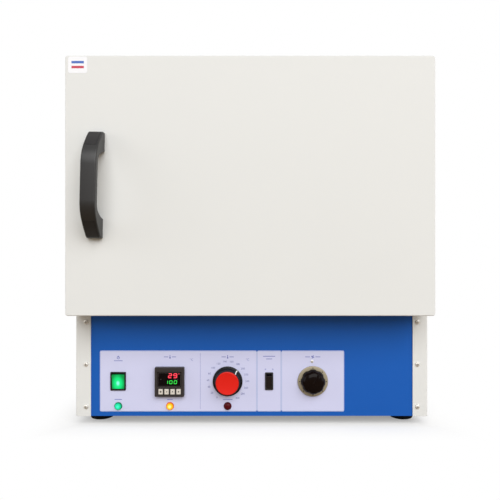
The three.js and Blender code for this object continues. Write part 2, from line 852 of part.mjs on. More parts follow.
function thermostatKnob() {
  const back = -knobGap;
  const front = back - thermostatKnobHeight;
  const profile = [
    [0, spindleReach],
    [spindleRadius, spindleReach],
    [spindleRadius, back],
    [skirtRadius, back],
    [skirtRadius, back - skirtHeight],
    [gripRadius, back - gripFoot],
    [gripTipRadius, front],
    [capRadius + fit, front],
    [capRadius + fit, front + capSocket],
    [0, front + capSocket],
  ];
  return turned(profile, knobSides);
}

function thermostatCap() {
  const seat = -knobGap - thermostatKnobHeight + capSocket - fit;
  const front = -knobGap - thermostatKnobHeight - capProud;
  const profile = [
    [0, seat],
    [capRadius, seat],
    [capRadius, front + capEdge],
    [capRadius - capEdge, front],
    [0, front],
  ];
  return turned(profile, knobSides);
}
const thermostatPlace = [thermostatX, 0, 0];
const thermostatBody = controlBody(thermostatBodyWidth, thermostatBodyHeight, thermostatBodyDepth);
addPiece(panel, "thermostat_body", thermostatBody, materials.blackNylon, thermostatPlace);
addPiece(panel, "thermostat_knob", thermostatKnob(), materials.blackNylon, thermostatPlace);
addPiece(panel, "thermostat_cap", thermostatCap(), materials.redPlastic, thermostatPlace);

// Fan regulator: the body behind the fascia, the dial ring and the lobed knob
function fanDial() {
  const back = -knobGap;
  const front = back - dialThickness;
  const bore = spindleRadius + fit;
  return turnedRing(
    [
      [bore, back],
      [dialRadius, back],
      [dialRadius, front + dialEdge],
      [dialRadius - dialEdge, front],
      [bore, front],
    ],
    knobSides,
  );
}

// The knob is a dome with finger hollows around it and a raised pointer
function fanKnob() {
  const back = -knobGap - dialThickness - fit;
  const crown = back - fanKnobHeight;
  const dome = domeShares.map(([r, y]) => [r * fanKnobRadius, back - y * fanKnobHeight]);
  const grip = turned([[0, back], ...dome], knobSides);
  const hollow = barY(
    fanHollowRadius,
    [0, fanKnobRadius + fanHollowRadius - fanHollowDepth],
    [crown - overrun, back + overrun],
    fanHollowSides,
  );
  const step = 360 / fanHollowCount;
  const hollows = rowOf(fanHollowCount).map((i) =>
    hollow.rotate([0, (i + fanHollowTurnShare) * step, 0]),
  );
  const reach = fanKnobRadius - fanHollowDepth - pointerWidth / 2;
  const pointer = plate(
    roundedRectangle(either(pointerWidth / 2), [0, reach], pointerCorner),
    [crown, back],
    0,
    2,
  ).rotate([0, fanPointerAngle, 0]);
  const spindle = barY(spindleRadius, [0, 0], [back - spindleRadius, spindleReach]);
  return joined([without(grip, hollows), pointer, spindle]);
}
const fanPlace = [fanX, 0, 0];
const fanBody = controlBody(regulatorSize, regulatorSize, regulatorDepth);
addPiece(panel, "fan_regulator", fanBody, materials.blackNylon, fanPlace);
addPiece(panel, "fan_dial", fanDial(), materials.dialMetal, fanPlace);
addPiece(panel, "fan_knob", fanKnob(), materials.blackGloss, fanPlace);

// Neon lamps in a line below the controls
function lamp() {
  const dome = lampDomeShares.map(([r, y]) => [r * lampLensRadius, -y * lampProud]);
  const profile = [
    ...dome,
    [lampLensRadius - lampRim / 2, -lampRim],
    [lampLensRadius, -lampRim],
    [lampLensRadius, 0],
    [lampBodyRadius, 0],
    [lampBodyRadius, lampBodyDepth],
    [0, lampBodyDepth],
  ];
  return turned(profile);
}
const lampShape = lamp();
addPiece(panel, "power_lamp", lampShape, materials.greenLens, [powerX, 0, -lampDrop]);
addPiece(panel, "heat_lamp", lampShape, materials.amberLens, [controllerX, 0, -lampDrop]);
addPiece(panel, "limit_lamp", lampShape, materials.darkRedLens, [thermostatX, 0, -lampDrop]);

// Heating element: a ring around the fan whose two ends turn back through the
// rear wall below it
const elementOpening = Math.asin((elementEndSpread + elementBend) / elementRingRadius);
const elementDrop =
  elementRingRadius * Math.cos(elementOpening) + elementBend * Math.tan(elementOpening);
const elementTerminals = either(elementEndSpread).map((x) => [x, fanHeight - elementDrop]);

class RingArc extends THREE.Curve {
  constructor(y, from, to) {
    super();
    this.y = y;
    this.from = from;
    this.to = to;
  }

  getPoint(share, target = new THREE.Vector3()) {
    const angle = this.from + share * (this.to - this.from);
    return target.set(
      elementRingRadius * Math.cos(angle),
      this.y,
      fanHeight + elementRingRadius * Math.sin(angle),
    );
  }
}

function elementPath() {
  const ringY = chamberBack - elementSetback;
  const end = jacketEnd + elementTail;
  const from = -Math.PI / 2 + elementOpening;
  const ring = new RingArc(ringY, from, from + 2 * (Math.PI - elementOpening));
  const [left, right] = elementTerminals.map(([x, z]) => (y) => new THREE.Vector3(x, y, z));
  const bendY = ringY + elementBend;
  const bends = [
    new THREE.QuadraticBezierCurve3(right(bendY), right(ringY), ring.getPoint(0)),
    new THREE.QuadraticBezierCurve3(ring.getPoint(1), left(ringY), left(bendY)),
  ];
  const path = new THREE.CurvePath();
  path.add(new THREE.LineCurve3(right(end), right(bendY)));
  path.add(bends[0]);
  path.add(ring);
  path.add(bends[1]);
  path.add(new THREE.LineCurve3(left(bendY), left(end)));
  return path;
}

function heatingElement() {
  const section = new THREE.Shape();
  section.absarc(0, 0, elementRadius, 0, 2 * Math.PI);
  const made = new THREE.ExtrudeGeometry(section, {
    steps: elementStepCount,
    curveSegments: elementSides / 2,
    bevelEnabled: false,
    extrudePath: elementPath(),
  });
  return toSolid(made);
}
addPiece(cabinet, "heating_element", heatingElement(), materials.stainless);

// Every hole that services the plenum: shaft, element ends, sensors and vent
const elementHole = elementRadius + 2 * fit;
const serviceHoles = (y) => [
  barY(fanShaftRadius + fanShaftSlack, [0, fanHeight], y, roundSides),
  ...elementTerminals.map((place) => barY(elementHole, place, y)),
  barY(sensorRadius + fit, sensorPlaces[0], y),
  barY(bulbRadius + fit, sensorPlaces[1], y),
  barY(ventRadius + fit, ventPlace, y, roundSides),
];

// Stainless chamber: a wide flat frame around its mouth, four walls folded from one
// sheet, and a back with every hole that serves the plenum
const frameBack = chamberFront + chamberSheet;
const frameZ = [fasciaTop + flangeJoint, cabinetTop - shellSheet - flangeClearance];
const chamberZ = [chamberFloor, chamberTop];
const frameMouth = block(either(chamberHalf), [chamberFront - overrun, frameBack + overrun], chamberZ);
const chamberFrame = block(either(insideHalf), [chamberFront, frameBack], frameZ).subtract(frameMouth);
addPiece(cabinet, "chamber_frame", chamberFrame, materials.stainless);

const skinX = either(chamberHalf + chamberSheet);
const skinZ = [chamberFloor - chamberSheet, chamberTop + chamberSheet];
const wallsY = [frameBack + fit, chamberBack - fit];
const walls = block(skinX, wallsY, skinZ).subtract(
  block(either(chamberHalf), [wallsY[0] - overrun, wallsY[1] + overrun], chamberZ),
);
addPiece(cabinet, "chamber_liner", walls, materials.stainless);

const backEnd = chamberBack + chamberSheet;
const backHoles = serviceHoles([chamberBack - overrun, backEnd + overrun]);
const backWall = without(block(skinX, [chamberBack, backEnd], skinZ), backHoles);
addPiece(cabinet, "chamber_back", backWall, materials.stainless);

// Mineral wool jacket around and behind the chamber
function jacket() {
  const gap = chamberSheet + fit;
  const front = chamberFront + chamberSheet + fit;
  const fold = block(
    either(halfWidth),
    [front - overrun, fasciaBack + fasciaFold + fit],
    [baseLevel, fasciaTop + fit],
  );
  const outside = block(
    either(halfWidth - shellSheet - fit),
    [front, jacketEnd],
    [chamberFloor - jacketBelow, cabinetTop - shellSheet - fit],
  );
  const cavity = block(
    either(chamberHalf + gap),
    [front - overrun, chamberBack + gap],
    [chamberFloor - gap, chamberTop + gap],
  );
  const holes = serviceHoles([chamberBack, jacketEnd + overrun]);
  return without(outside, [cavity, fold, ...holes]);
}
addPiece(cabinet, "insulation_jacket", jacket(), materials.wool);

// Air baffle: a shallow tray in front of the fan, with an intake grille in the
// middle and outlet slots down both sides
function airBaffle() {
  const half = chamberHalf - baffleGap;
  const z = [chamberFloor + baffleGap, chamberTop - baffleGap];
  const tray = block(either(half), [baffleFace, chamberBack - fit], z);
  const hollow = block(
    either(half - chamberSheet),
    [baffleFace + chamberSheet, chamberBack + overrun],
    [z[0] + chamberSheet, z[1] - chamberSheet],
  );
  const through = [baffleFace - overrun, baffleFace + chamberSheet + overrun];
  const grille = rowOf(grilleRingCount).flatMap((ring) =>
    rowOf(ring * grilleRingHoleCount || 1).map((i) => {
      const angle = (i / (ring * grilleRingHoleCount || 1)) * 2 * Math.PI;
      const reach = ring * grillePitch;
      const place = [reach * Math.cos(angle), fanHeight + reach * Math.sin(angle)];
      return barY(grilleHoleRadius, place, through, wireSides);
    }),
  );
  const outlets = [-1, 1].flatMap((side) =>
    centred(outletCount, outletPitch).map((offset) =>
      block(
        around(side * (half - outletInset), outletLength),
        through,
        around(fanHeight + offset, outletWidth),
      ),
    ),
  );
  const sensorHoles = [
    barY(sensorRadius + fit, sensorPlaces[0], through),
    barY(bulbRadius + fit, sensorPlaces[1], through),
  ];
  return without(tray, [hollow, ...grille, ...outlets, ...sensorHoles]);
}
addPiece(cabinet, "air_baffle", airBaffle(), materials.stainless);

// Fan motor on its mounting plate, behind the jacket
function fanMotor() {
  const plateBack = motorPlateFace + motorPlateSheet;
  const half = motorPlateSize / 2;
  const mount = block(either(half), [motorPlateFace, plateBack], around(fanHeight, motorPlateSize));
  const body = barY(motorRadius, [0, fanHeight], [plateBack, plateBack + motorLength], roundSides);
  const bore = [jacketEnd - overrun, plateBack + fanShaftGrip + fit];
  const terminalY = [jacketEnd - overrun, plateBack + overrun];
  const terminals = elementTerminals.map((place) => barY(elementHole, place, terminalY));
  return without(mount.add(body), [
    barY(fanShaftRadius + fanShaftSlack, [0, fanHeight], bore, roundSides),
    ...terminals,
  ]);
}
addPiece(cabinet, "fan_motor", fanMotor(), materials.zincSteel);

// Fan impeller: a back disc with radial blades, a hub and the shaft
function fanImpeller() {
  const discBack = chamberBack - impellerSetback;
  const discFront = discBack - impellerDisc;
  const front = discBack - impellerWidth;
  const disc = barY(impellerRadius, [0, 0], [discFront, discBack], knobSides);
  const hub = barY(hubRadius, [0, 0], [front, discFront + impellerDisc / 2]);
  const blade = block(
    [bladeInner, impellerRadius - bladeSheet],
    [front, discFront + impellerDisc / 2],
    either(bladeSheet / 2),
  );
  const blades = rowOf(bladeCount).map((i) => blade.rotate([0, (i * 360) / bladeCount, 0]));
  const shaftEnd = motorPlateFace + motorPlateSheet + fanShaftGrip;
  const shaft = barY(fanShaftRadius, [0, 0], [discFront, shaftEnd], roundSides);
  return joined([disc, hub, shaft, ...blades]);
}
addPiece(cabinet, "fan_impeller", fanImpeller(), materials.zincSteel, [0, 0, fanHeight]);

// Shelf runners: two posts and a ladder of ledges on each side wall
const runnerY = [chamberFront + runnerSetback, baffleFace - runnerRearGap];
function shelfRunner(side) {
  const outer = chamberHalf - fit;
  const post = outer - runnerSheet;
  const x = (low, high) => (side < 0 ? [-high, -low] : [low, high]);
  const postZ = [
    ledgeHeights[0] - runnerPostMargin,
    ledgeHeights[ledgeCount - 1] + runnerPostMargin,
  ];
  const postMiddles = [runnerY[0] + runnerPostWidth, runnerY[1] - runnerPostWidth];
  const posts = postMiddles.map((y) => block(x(post, outer), around(y, runnerPostWidth), postZ));
  const ledges = ledgeHeights.map((z) =>
    block(x(outer - runnerLedge, outer), runnerY, [z - runnerSheet, z]),
  );
  return joined([...posts, ...ledges]);
}
addPiece(cabinet, "left_runner", shelfRunner(-1), materials.stainless);
addPiece(cabinet, "right_runner", shelfRunner(1), materials.stainless);

// Wire shelf: a rod frame with a row of thinner wires laid across it
function wireShelf() {
  const half = chamberHalf - shelfSideGap - shelfFrameRadius;
  const shelfLength = runnerY[1] - runnerY[0] - 2 * shelfEndGap;
  const span = shelfLength - 2 * shelfFrameRadius;
  const reach = either(half + shelfFrameRadius);
  const sides = [-half, half].map((x) =>
    barY(shelfFrameRadius, [x, 0], either(shelfLength / 2), wireSides),
  );
  const ends = either(span / 2).map((y) => barX(shelfFrameRadius, [y, 0], reach, wireSides));
  const pitch = (2 * half) / (shelfWireCount + 1);
  const wires = centred(shelfWireCount, pitch).map((x) =>
    barY(shelfWireRadius, [x, shelfFrameRadius - shelfWireRadius], either(span / 2), wireSides),
  );
  return joined([...sides, ...ends, ...wires]);
}
const shelfShape = wireShelf();
const shelfMiddle = (runnerY[0] + runnerY[1]) / 2;
const shelfLift = fit + shelfFrameRadius;
const shelves = [["lower_shelf", lowerShelfLedgeCount], ["upper_shelf", upperShelfLedgeCount]];
for (const [name, ledge] of shelves) {
  const place = [0, shelfMiddle, ledgeHeights[ledge] + shelfLift];
  addPiece(cabinet, name, shelfShape, materials.chrome, place);
}

// Control sensor and thermostat bulb, held by one clip against the baffle
function sensorSet() {
  const y = [baffleFace - sensorReach, jacketEnd + sensorTail];
  const [upper, lower] = sensorPlaces;
  const clip = block(
    around(sensorX, 2 * (bulbRadius + sensorClipMargin)),
    [baffleFace - fit - sensorClipSheet, baffleFace - fit],
    [lower[1] - bulbRadius - sensorClipMargin, upper[1] + bulbRadius + sensorClipMargin],
  );
  return joined([barY(sensorRadius, upper, y), barY(bulbRadius, lower, y), clip]);
}
addPiece(cabinet, "sensor_set", sensorSet(), materials.stainless);

// Exhaust vent: a pipe from the plenum through the rear panel, with a fixing
// plate that carries the damper's pin
const ventPlateY = [rearPanelBack + fit, rearPanelBack + fit + ventPlateSheet];
const damperY = ventPlateY[1] + ventProud + fit;
const damperPin = [ventPlace[0] + damperPinSpread, ventPlace[1]];
function ventPipe() {
  const y = [chamberBack + chamberSheet / 2, ventPlateY[1] + ventProud];
  const pipe = barY(ventRadius, ventPlace, y, roundSides);
  const plateX = around(ventPlace[0] + damperPinSpread / 2, ventPlateWidth);
  const fixing = block(plateX, ventPlateY, around(ventPlace[1], ventPlateHeight));
  const pinY = [ventPlateY[0], damperY + damperSheet + fit];
  const pin = barY(damperPinRadius, damperPin, pinY);
  const bore = [y[0] - overrun, y[1] + overrun];
  return joined([pipe, fixing, pin]).subtract(barY(ventRadius - ventWall, ventPlace, bore, roundSides));
}
addPiece(cabinet, "vent_pipe", ventPipe(), materials.stainless);

// Damper: a round-ended plate that swings about its pin to cover the pipe
function ventDamper() {
  const y = [0, damperSheet];
  const cover = barY(damperRadius, [-damperPinSpread, 0], y, roundSides);
  const eye = barY(damperGripWidth + damperPinRadius, [0, 0], y, roundSides);
  const arm = block([-damperPinSpread, 0], y, either(damperGripWidth + damperPinRadius));
  const grip = block(
    around(-damperPinSpread, damperGripWidth),
    [damperSheet / 2, damperSheet + damperGripHeight],
    either(damperGripLength / 2),
  );
  const bore = barY(damperPinRadius + damperSlack, [0, 0], [-overrun, damperSheet + overrun]);
  return joined([cover, eye, arm, grip]).subtract(bore);
}
const damperPlace = [damperPin[0], damperY, damperPin[1]];
addPiece(cabinet, "vent_damper", ventDamper(), materials.blackNylon, damperPlace);

// Cable gland through the rear panel, open through its middle
function cableGland() {
  const inner = rearPanelFace - glandInner;
  const seat = rearPanelBack + fit;
  return turnedRing(
    [
      [glandBore, inner],
      [glandThreadRadius, inner],
      [glandThreadRadius, seat],
      [glandNutRadius, seat],
      [glandNutRadius, seat + glandNutHeight],
      [glandRadius, seat + glandNutHeight],
      [glandRadius, seat + glandProud * glandNeckShare],
      [glandBore + (glandRadius - glandBore) / 2, seat + glandProud],
      [glandBore, seat + glandProud],
    ],
    glandSides,
  );
}
const glandSpot = [glandPlace[0], 0, glandPlace[1]];
addPiece(cabinet, "cable_gland", cableGland(), materials.blackNylon, glandSpot);

// Magnetic catch on the shell's left return, facing the back of the door
const catchShape = block(
  [-halfWidth + catchInset, -halfWidth + catchInset + catchWidth],
  [-doorGap + fit, 0],
  around(doorBottom + doorHeight / 2, catchHeight),
);
addPiece(cabinet, "door_catch", catchShape, materials.magnet);

// Lift-off hinges: the lower half of each barrel and its pin are on the cabinet
const hingeHeights = [doorBottom + hingeInset, doorBottom + doorHeight - hingeInset];
const hingeHalf = hingeHeight / 2;
function cabinetHinge() {
  const leaf = block(
    [halfWidth + fit - hingeX, halfWidth + fit + hingeLeafSheet - hingeX],
    [0, hingeSetForward + hingeLeafLength],
    either(hingeHalf),
  );
  const barrel = barZ(hingeBarrelRadius, [0, 0], [-hingeHalf, -hingeJoint / 2], roundSides);
  const clearance = hingeBarrelRadius + fit;
  const room = barZ(clearance, [0, 0], [-hingeJoint / 2, hingeHalf + overrun], roundSides);
  const pin = barZ(hingePinRadius, [0, 0], [-hingeHalf, hingePinLength], roundSides);
  return leaf.subtract(room).add(barrel).add(pin);
}
const cabinetHingeShape = cabinetHinge();
hingeHeights.forEach((z, i) => {
  const name = `${["lower", "upper"][i]}_hinge`;
  addPiece(cabinet, name, cabinetHingeShape, materials.zincSteel, [hingeX, hingeY, z]);
});

// The door is drawn in its own frame: x from its middle, y from the back of its
// shell, z from its bottom edge
const door = new THREE.Group();
door.position.set(doorShift, -doorGap, doorBottom);
cabinet.add(door);
const doorHalf = doorWidth / 2;
const chamberX = -doorShift;
const mouthZ = chamberZ.map((z) => z - doorBottom);
const grown = (range, by) => [range[0] - by, range[1] + by];
const mouthX = around(chamberX, 2 * chamberHalf);

// Door shell: a folded pan with the upper half of each hinge barrel welded on
function doorHinge(z) {
  const pinX = hingeX - doorShift;
  const pinY = hingeY + doorGap;
  const halfZ = [z + hingeJoint / 2, z + hingeHalf];
  const barrel = barZ(hingeBarrelRadius, [pinX, pinY], halfZ, roundSides);
  const web = [pinY - hingeBarrelRadius, pinY - hingeBarrelRadius + hingeLeafSheet];
  const arm = block([doorHalf - doorSheet, pinX], web, halfZ);
  const pad = block([doorHalf - doorSheet / 2, doorHalf + hingeLeafSheet], [-hingeLeafLength, web[1]], halfZ);
  const boreRadius = hingePinRadius + hingePinSlack;
  const bore = barZ(boreRadius, [pinX, pinY], [z - overrun, z + hingePinLength + fit], roundSides);
  return joined([barrel, arm, pad]).subtract(bore);
}

function doorShell() {
  const outline = roundedRectangle(either(doorHalf), [0, doorHeight], doorCorner);
  const shell = plate(outline, [-doorDepth, 0], doorEdge, 2);
  const hollow = block(
    either(doorHalf - doorSheet),
    [-doorDepth + doorSheet, -doorSheet],
    [doorSheet, doorHeight - doorSheet],
  );
  const mouth = block(
    either(doorHalf - doorReturn),
    [-doorSheet - overrun, overrun],
    [doorReturn, doorHeight - doorReturn],
  );
  const pan = without(shell, [hollow, mouth]);
  return joined([pan, ...hingeHeights.map((z) => doorHinge(z - doorBottom))]);
}
addPiece(door, "door_shell", doorShell(), materials.creamPaint);

// Mineral wool slab inside the door
const doorWool = block(
  either(doorHalf - doorSheet - woolGap),
  [-doorDepth + doorSheet + woolGap, -doorSheet - woolGap],
  [doorSheet + woolGap, doorHeight - doorSheet - woolGap],
);
addPiece(door, "door_insulation", doorWool, materials.wool);

// Stainless inner panel: a flat flange over the shell's returns, and a raised
// plug that stands in the mouth of the chamber
function doorLiner() {
  const flange = block(
    either(doorHalf - doorLinerMargin),
    [0, doorLinerSheet],
    [doorLinerMargin, doorHeight - doorLinerMargin],
  );
  const plugAt = (shrink, y) => {
    const outline = roundedRectangle(
      grown(mouthX, -plugMargin - shrink),
      grown(mouthZ, -plugMargin - shrink),
      plugSlope,
    );
    return plate(outline, y);
  };
  const tip = doorLinerSheet + plugDepth;
  const raised = plugAt(0, [0, tip - plugSlope]).add(plugAt(plugSlope, [0, tip]));
  const hollow = plugAt(doorLinerSheet, [-overrun, tip - plugSlope - doorLinerSheet]);
  return flange.add(raised).subtract(hollow);
}
addPiece(door, "door_liner", doorLiner(), materials.stainless);

// Silicone seal around the plug, meeting the chamber's flange
function doorSeal() {
  const inner = [grown(mouthX, sealMargin), grown(mouthZ, sealMargin)];
  const outer = inner.map((range) => grown(range, sealWidth));
  const y = [doorLinerSheet, doorGap + chamberFront - fit];
  const ring = plate(roundedRectangle(...outer, sealWidth), y, sealRound);
  const hole = roundedRectangle(...inner, sealRound);
  return ring.subtract(plate(hole, [y[0] - overrun, y[1] + overrun]));
}
addPiece(door, "door_seal", doorSeal(), materials.silicone);

// Handle outline in y and z, from the door's face out and along the handle: upright
// ends, crowned slopes and round shoulders
const handleHalf = handleLength / 2;
const slopeStart = handleHalf - handleSlopeRun;
const slopeTop = handleEnd + handleSlopeRise;
const handleCurveSteps = 5;
function handleOutline() {
  const corner = new THREE.Vector2(-handleEnd, handleHalf);
  const shoulder = new THREE.Vector2(-handleHeight, slopeStart - handleShoulder);
  const slope = shoulder.clone().sub(corner).normalize();
  const outwards = new THREE.Vector2(slope.y, -slope.x).multiplyScalar(handleCrown);
  const crown = corner.clone().lerp(shoulder, 1 / 2).add(outwards);
  const onTheWay = (from, by) => crown.clone().sub(from).setLength(by).add(from);
  const low = onTheWay(corner, handleEndRound);
  const high = onTheWay(shoulder, handleShoulderRound);
  const path = new THREE.Path();
  path.moveTo(0, handleHalf);
  path.lineTo(handleEndRound - handleEnd, handleHalf);
  path.quadraticCurveTo(corner.x, corner.y, low.x, low.y);
  path.quadraticCurveTo(crown.x, crown.y, high.x, high.y);
  path.quadraticCurveTo(shoulder.x, shoulder.y, shoulder.x, shoulder.y - handleShoulderRound);
  const half = path.getPoints(handleCurveSteps);
  const mirrored = half.map(({ x, y }) => new THREE.Vector2(x, -y)).reverse();
  return new THREE.Shape([...half, ...mirrored]);
}

// Space under the bar, with curved ends, where the fingers go
function fingerSpace() {
  const inner = handleHalf - handleFoot;
  const roof = handleHeight - handleBar;
  const outline = new THREE.Shape();
  outline.moveTo(overrun, -inner);
  outline.lineTo(0, -inner);
  outline.quadraticCurveTo(-roof, -inner + handleBar / 2, -roof, -inner + 2 * handleBar);
  outline.lineTo(-roof, inner - 2 * handleBar);
  outline.quadraticCurveTo(-roof, inner - handleBar / 2, 0, inner);
  outline.lineTo(overrun, inner);
  return sweptAcross(outline, either(handleWidth));
}

// The sloping face at each end, cut back to take a screw cap
function capSpace(side, gap) {
  const halfX = handleWidth / 2 - capInset + gap;
  const slope = Math.atan2(handleSlopeRise, handleSlopeRun);
  const length = Math.hypot(handleSlopeRise, handleSlopeRun);
  const cutter = block(
    either(halfX),
    [-handleHeight, capThickness + gap],
    [-gap, length - capInset + gap],
  );
  const placed = cutter
    .rotate([(-slope * 180) / Math.PI, 0, 0])
    .translate([0, -slopeTop, slopeStart]);
  return side < 0 ? placed.mirror([0, 0, 1]) : placed;
}

const wholeHandle = sweptAcross(handleOutline(), either(handleWidth / 2), handleBevel);
const handleBody = without(wholeHandle, [fingerSpace(), capSpace(1, fit), capSpace(-1, fit)]);
const handle = new THREE.Group();
handle.position.set(-doorHalf + handleInset, -doorDepth - fit, doorHeight / 2);
handle.rotation.y = THREE.MathUtils.degToRad(handleLean);
door.add(handle);
addPiece(handle, "door_handle", handleBody, materials.blackNylon);
addPiece(handle, "upper_handle_cap", wholeHandle.intersect(capSpace(1, 0)), materials.blackNylon);
addPiece(handle, "lower_handle_cap", wholeHandle.intersect(capSpace(-1, 0)), materials.blackNylon);

// The frame's origin is the middle of the bounding box, at bench level.
const bounds = new THREE.Box3().setFromObject(oven);
const middle = bounds.getCenter(new THREE.Vector3());
cabinet.position.set(-middle.x, -middle.y, 0);

export default oven;
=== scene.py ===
import math

import bmesh
import bpy
from mathutils import Matrix, Vector


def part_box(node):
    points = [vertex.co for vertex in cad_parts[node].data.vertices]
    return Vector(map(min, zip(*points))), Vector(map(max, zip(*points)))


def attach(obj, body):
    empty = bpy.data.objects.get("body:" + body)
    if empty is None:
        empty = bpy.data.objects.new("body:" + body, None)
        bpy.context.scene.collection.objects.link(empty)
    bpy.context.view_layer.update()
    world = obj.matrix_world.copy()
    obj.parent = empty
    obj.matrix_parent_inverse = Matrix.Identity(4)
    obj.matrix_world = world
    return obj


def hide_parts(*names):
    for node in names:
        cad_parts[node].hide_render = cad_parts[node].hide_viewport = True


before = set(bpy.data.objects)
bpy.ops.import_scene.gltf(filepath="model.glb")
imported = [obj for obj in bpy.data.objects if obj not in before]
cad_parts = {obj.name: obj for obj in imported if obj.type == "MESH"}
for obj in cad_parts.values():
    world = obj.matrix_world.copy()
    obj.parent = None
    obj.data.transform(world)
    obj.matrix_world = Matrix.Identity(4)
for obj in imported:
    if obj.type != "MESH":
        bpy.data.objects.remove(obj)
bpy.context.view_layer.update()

# Camera: the photograph was taken level, about 80 cm in front of the door and a
# little left of the middle, so the door looks larger than the cabinet behind it.
camera_data = bpy.data.cameras.new("camera")
camera_data.sensor_width = 36
camera_data.lens = 37.656
camera = bpy.data.objects.new("camera", camera_data)
camera.location = (-0.00828, -1.04775, 0.288)
camera.rotation_euler = (math.radians(90), 0, 0)
bpy.context.scene.collection.objects.link(camera)
bpy.context.scene.camera = camera
bpy.context.scene.view_settings.view_transform = "Standard"


# Surroundings: a white room that only the camera and glass see at full strength.
# Gloss sees a dimmer room, and matt surfaces get a little of it as fill.
def linear(colour):
    """The linear colour of an sRGB hex value such as "#e6e1d6"."""
    parts = [int(colour[i : i + 2], 16) / 255 for i in (1, 3, 5)]
    return [*(c / 12.92 if c <= 0.04045 else ((c + 0.055) / 1.055) ** 2.4 for c in parts), 1]


def add_node(tree, kind, sockets, **settings):
    """Adds a node. A socket is given a value, or another node's output to link to."""
    node = tree.nodes.new("ShaderNode" + kind)
    for name, value in settings.items():
        setattr(node, name, value)
    for name, value in sockets.items():
        if isinstance(value, bpy.types.NodeSocket):
            tree.links.new(value, node.inputs[name])
        else:
            node.inputs[name].default_value = value
    return node


def background_rays(tree):
    """1 for the rays that should see the white background, 0 for those that light things."""
    rays = add_node(tree, "LightPath", {}).outputs
    seen = {0: rays["Is Camera Ray"], 1: rays["Is Transmission Ray"]}
    return add_node(tree, "Math", seen, operation="MAXIMUM").outputs[0]


fill_level = 0.08
gloss_level = 0.45
world = bpy.data.worlds.new("white_room")
world.use_nodes = True
sky = world.node_tree
sky.nodes.clear()
gloss = add_node(sky, "LightPath", {}).outputs["Is Glossy Ray"]
level = {"Value": gloss, "To Min": fill_level, "To Max": gloss_level}
level = add_node(sky, "MapRange", level).outputs[0]
level = {"Value": background_rays(sky), "To Min": level, "To Max": 1}
level = add_node(sky, "MapRange", level).outputs[0]
backdrop = add_node(sky, "Background", {"Color": (1, 1, 1, 1), "Strength": level})
add_node(sky, "OutputWorld", {"Surface": backdrop.outputs[0]})
bpy.context.scene.world = world

# Softboxes: a large one in front and above, a little to the right, as in the
# photograph, and weaker ones for the sides, the top and the back.
softboxes = {
    "front_softbox": ((1.9, -8.8, 6.6), (12.8, 9), 1412),
    "left_softbox": ((-3.2, -0.7, 1.4), (2.6, 2.2), 38),
    "right_softbox": ((3.2, -0.7, 1.4), (2.6, 2.2), 31),
    "back_softbox": ((0.6, 3.4, 0.9), (3.2, 1.6), 78),
    "top_softbox": ((0, 0.2, 3.4), (2.4, 2.4), 8),
}
lit_point = Vector((0, 0, 0.3))
for name, (place, size, power) in softboxes.items():
    softbox = bpy.data.lights.new(name, "AREA")
    softbox.shape = "RECTANGLE"
    softbox.size, softbox.size_y = size
    softbox.energy = power
    lamp = bpy.data.objects.new(name, softbox)
    lamp.location = place
    lamp.rotation_euler = (lit_point - Vector(place)).to_track_quat("-Z", "Y").to_euler()
    lamp.visible_camera = False
    bpy.context.scene.collection.objects.link(lamp)

# Floor: pale and plain. Under and around the machine it keeps the soft shadow, and
# away from it the background rays see it as white as the room. All other rays meet a
# duller, warmer paper, which throws less light back up.
MM = 0.001
floor_half = 30000
shadow_share = 0.7
shadow_starts, shadow_ends = -0.035, 0.075
footprint_low, footprint_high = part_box("outer_shell")
floor_shape = bmesh.new()
bmesh.ops.create_grid(floor_shape, x_segments=1, y_segments=1, size=floor_half * MM)
floor_mesh = bpy.data.meshes.new("floor")
floor_shape.to_mesh(floor_mesh)
floor_shape.free()
floor = bpy.data.objects.new("floor", floor_mesh)
bpy.context.scene.collection.objects.link(floor)
floor_paper = bpy.data.materials.new("white_floor_paper")
floor_paper.use_nodes = True
paper = floor_paper.node_tree
paper.nodes.clear()
seen = background_rays(paper)
here = add_node(paper, "TexCoord", {}).outputs["Object"]
here = {0: here, 1: (footprint_low + footprint_high) / 2}
here = {0: add_node(paper, "VectorMath", here, operation="SUBTRACT").outputs[0]}
here = {0: add_node(paper, "VectorMath", here, operation="ABSOLUTE").outputs[0],
        1: (footprint_high - footprint_low) / 2}
here = {0: add_node(paper, "VectorMath", here, operation="SUBTRACT").outputs[0]}
here = add_node(paper, "SeparateXYZ", here).outputs
outside = add_node(paper, "Math", {0: here["X"], 1: here["Y"]}, operation="MAXIMUM").outputs[0]
share = {"Value": outside, "From Min": shadow_ends, "From Max": shadow_starts,
         "To Max": shadow_share}
share = add_node(paper, "MapRange", share, interpolation_type="SMOOTHSTEP").outputs[0]
lit = add_node(paper, "BsdfDiffuse", {"Color": linear("#f8f8f8")}).outputs[0]
white = add_node(paper, "Emission", {"Color": (1, 1, 1, 1), "Strength": 1}).outputs[0]
shown = add_node(paper, "MixShader", {0: share, 1: white, 2: lit}).outputs[0]
dull = add_node(paper, "BsdfDiffuse", {"Color": linear("#a5937c")}).outputs[0]
mixed = add_node(paper, "MixShader", {0: seen, 1: dull, 2: shown}).outputs[0]
add_node(paper, "OutputMaterial", {"Surface": mixed})
floor_mesh.materials.append(floor_paper)


# Cabinet skin: one steel sheet folded over both sides and the top, with narrow
# returns folded in at the front and the back, then powder coated cream.
def span(node):
    """Lowest and highest corner and middle of a CAD node, in millimetres."""
    low, high = (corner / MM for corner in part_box(node))
    return low, high, (low + high) / 2


def new_material(name, sockets):
    """A new material with some of its shader's sockets set, its tree and its shader."""
    made = bpy.data.materials.new(name)
    made.use_nodes = True
    shader = made.node_tree.nodes["Principled BSDF"]
    for socket, value in sockets.items():
        shader.inputs[socket.replace("_", " ")].default_value = value
    return made, made.node_tree, shader


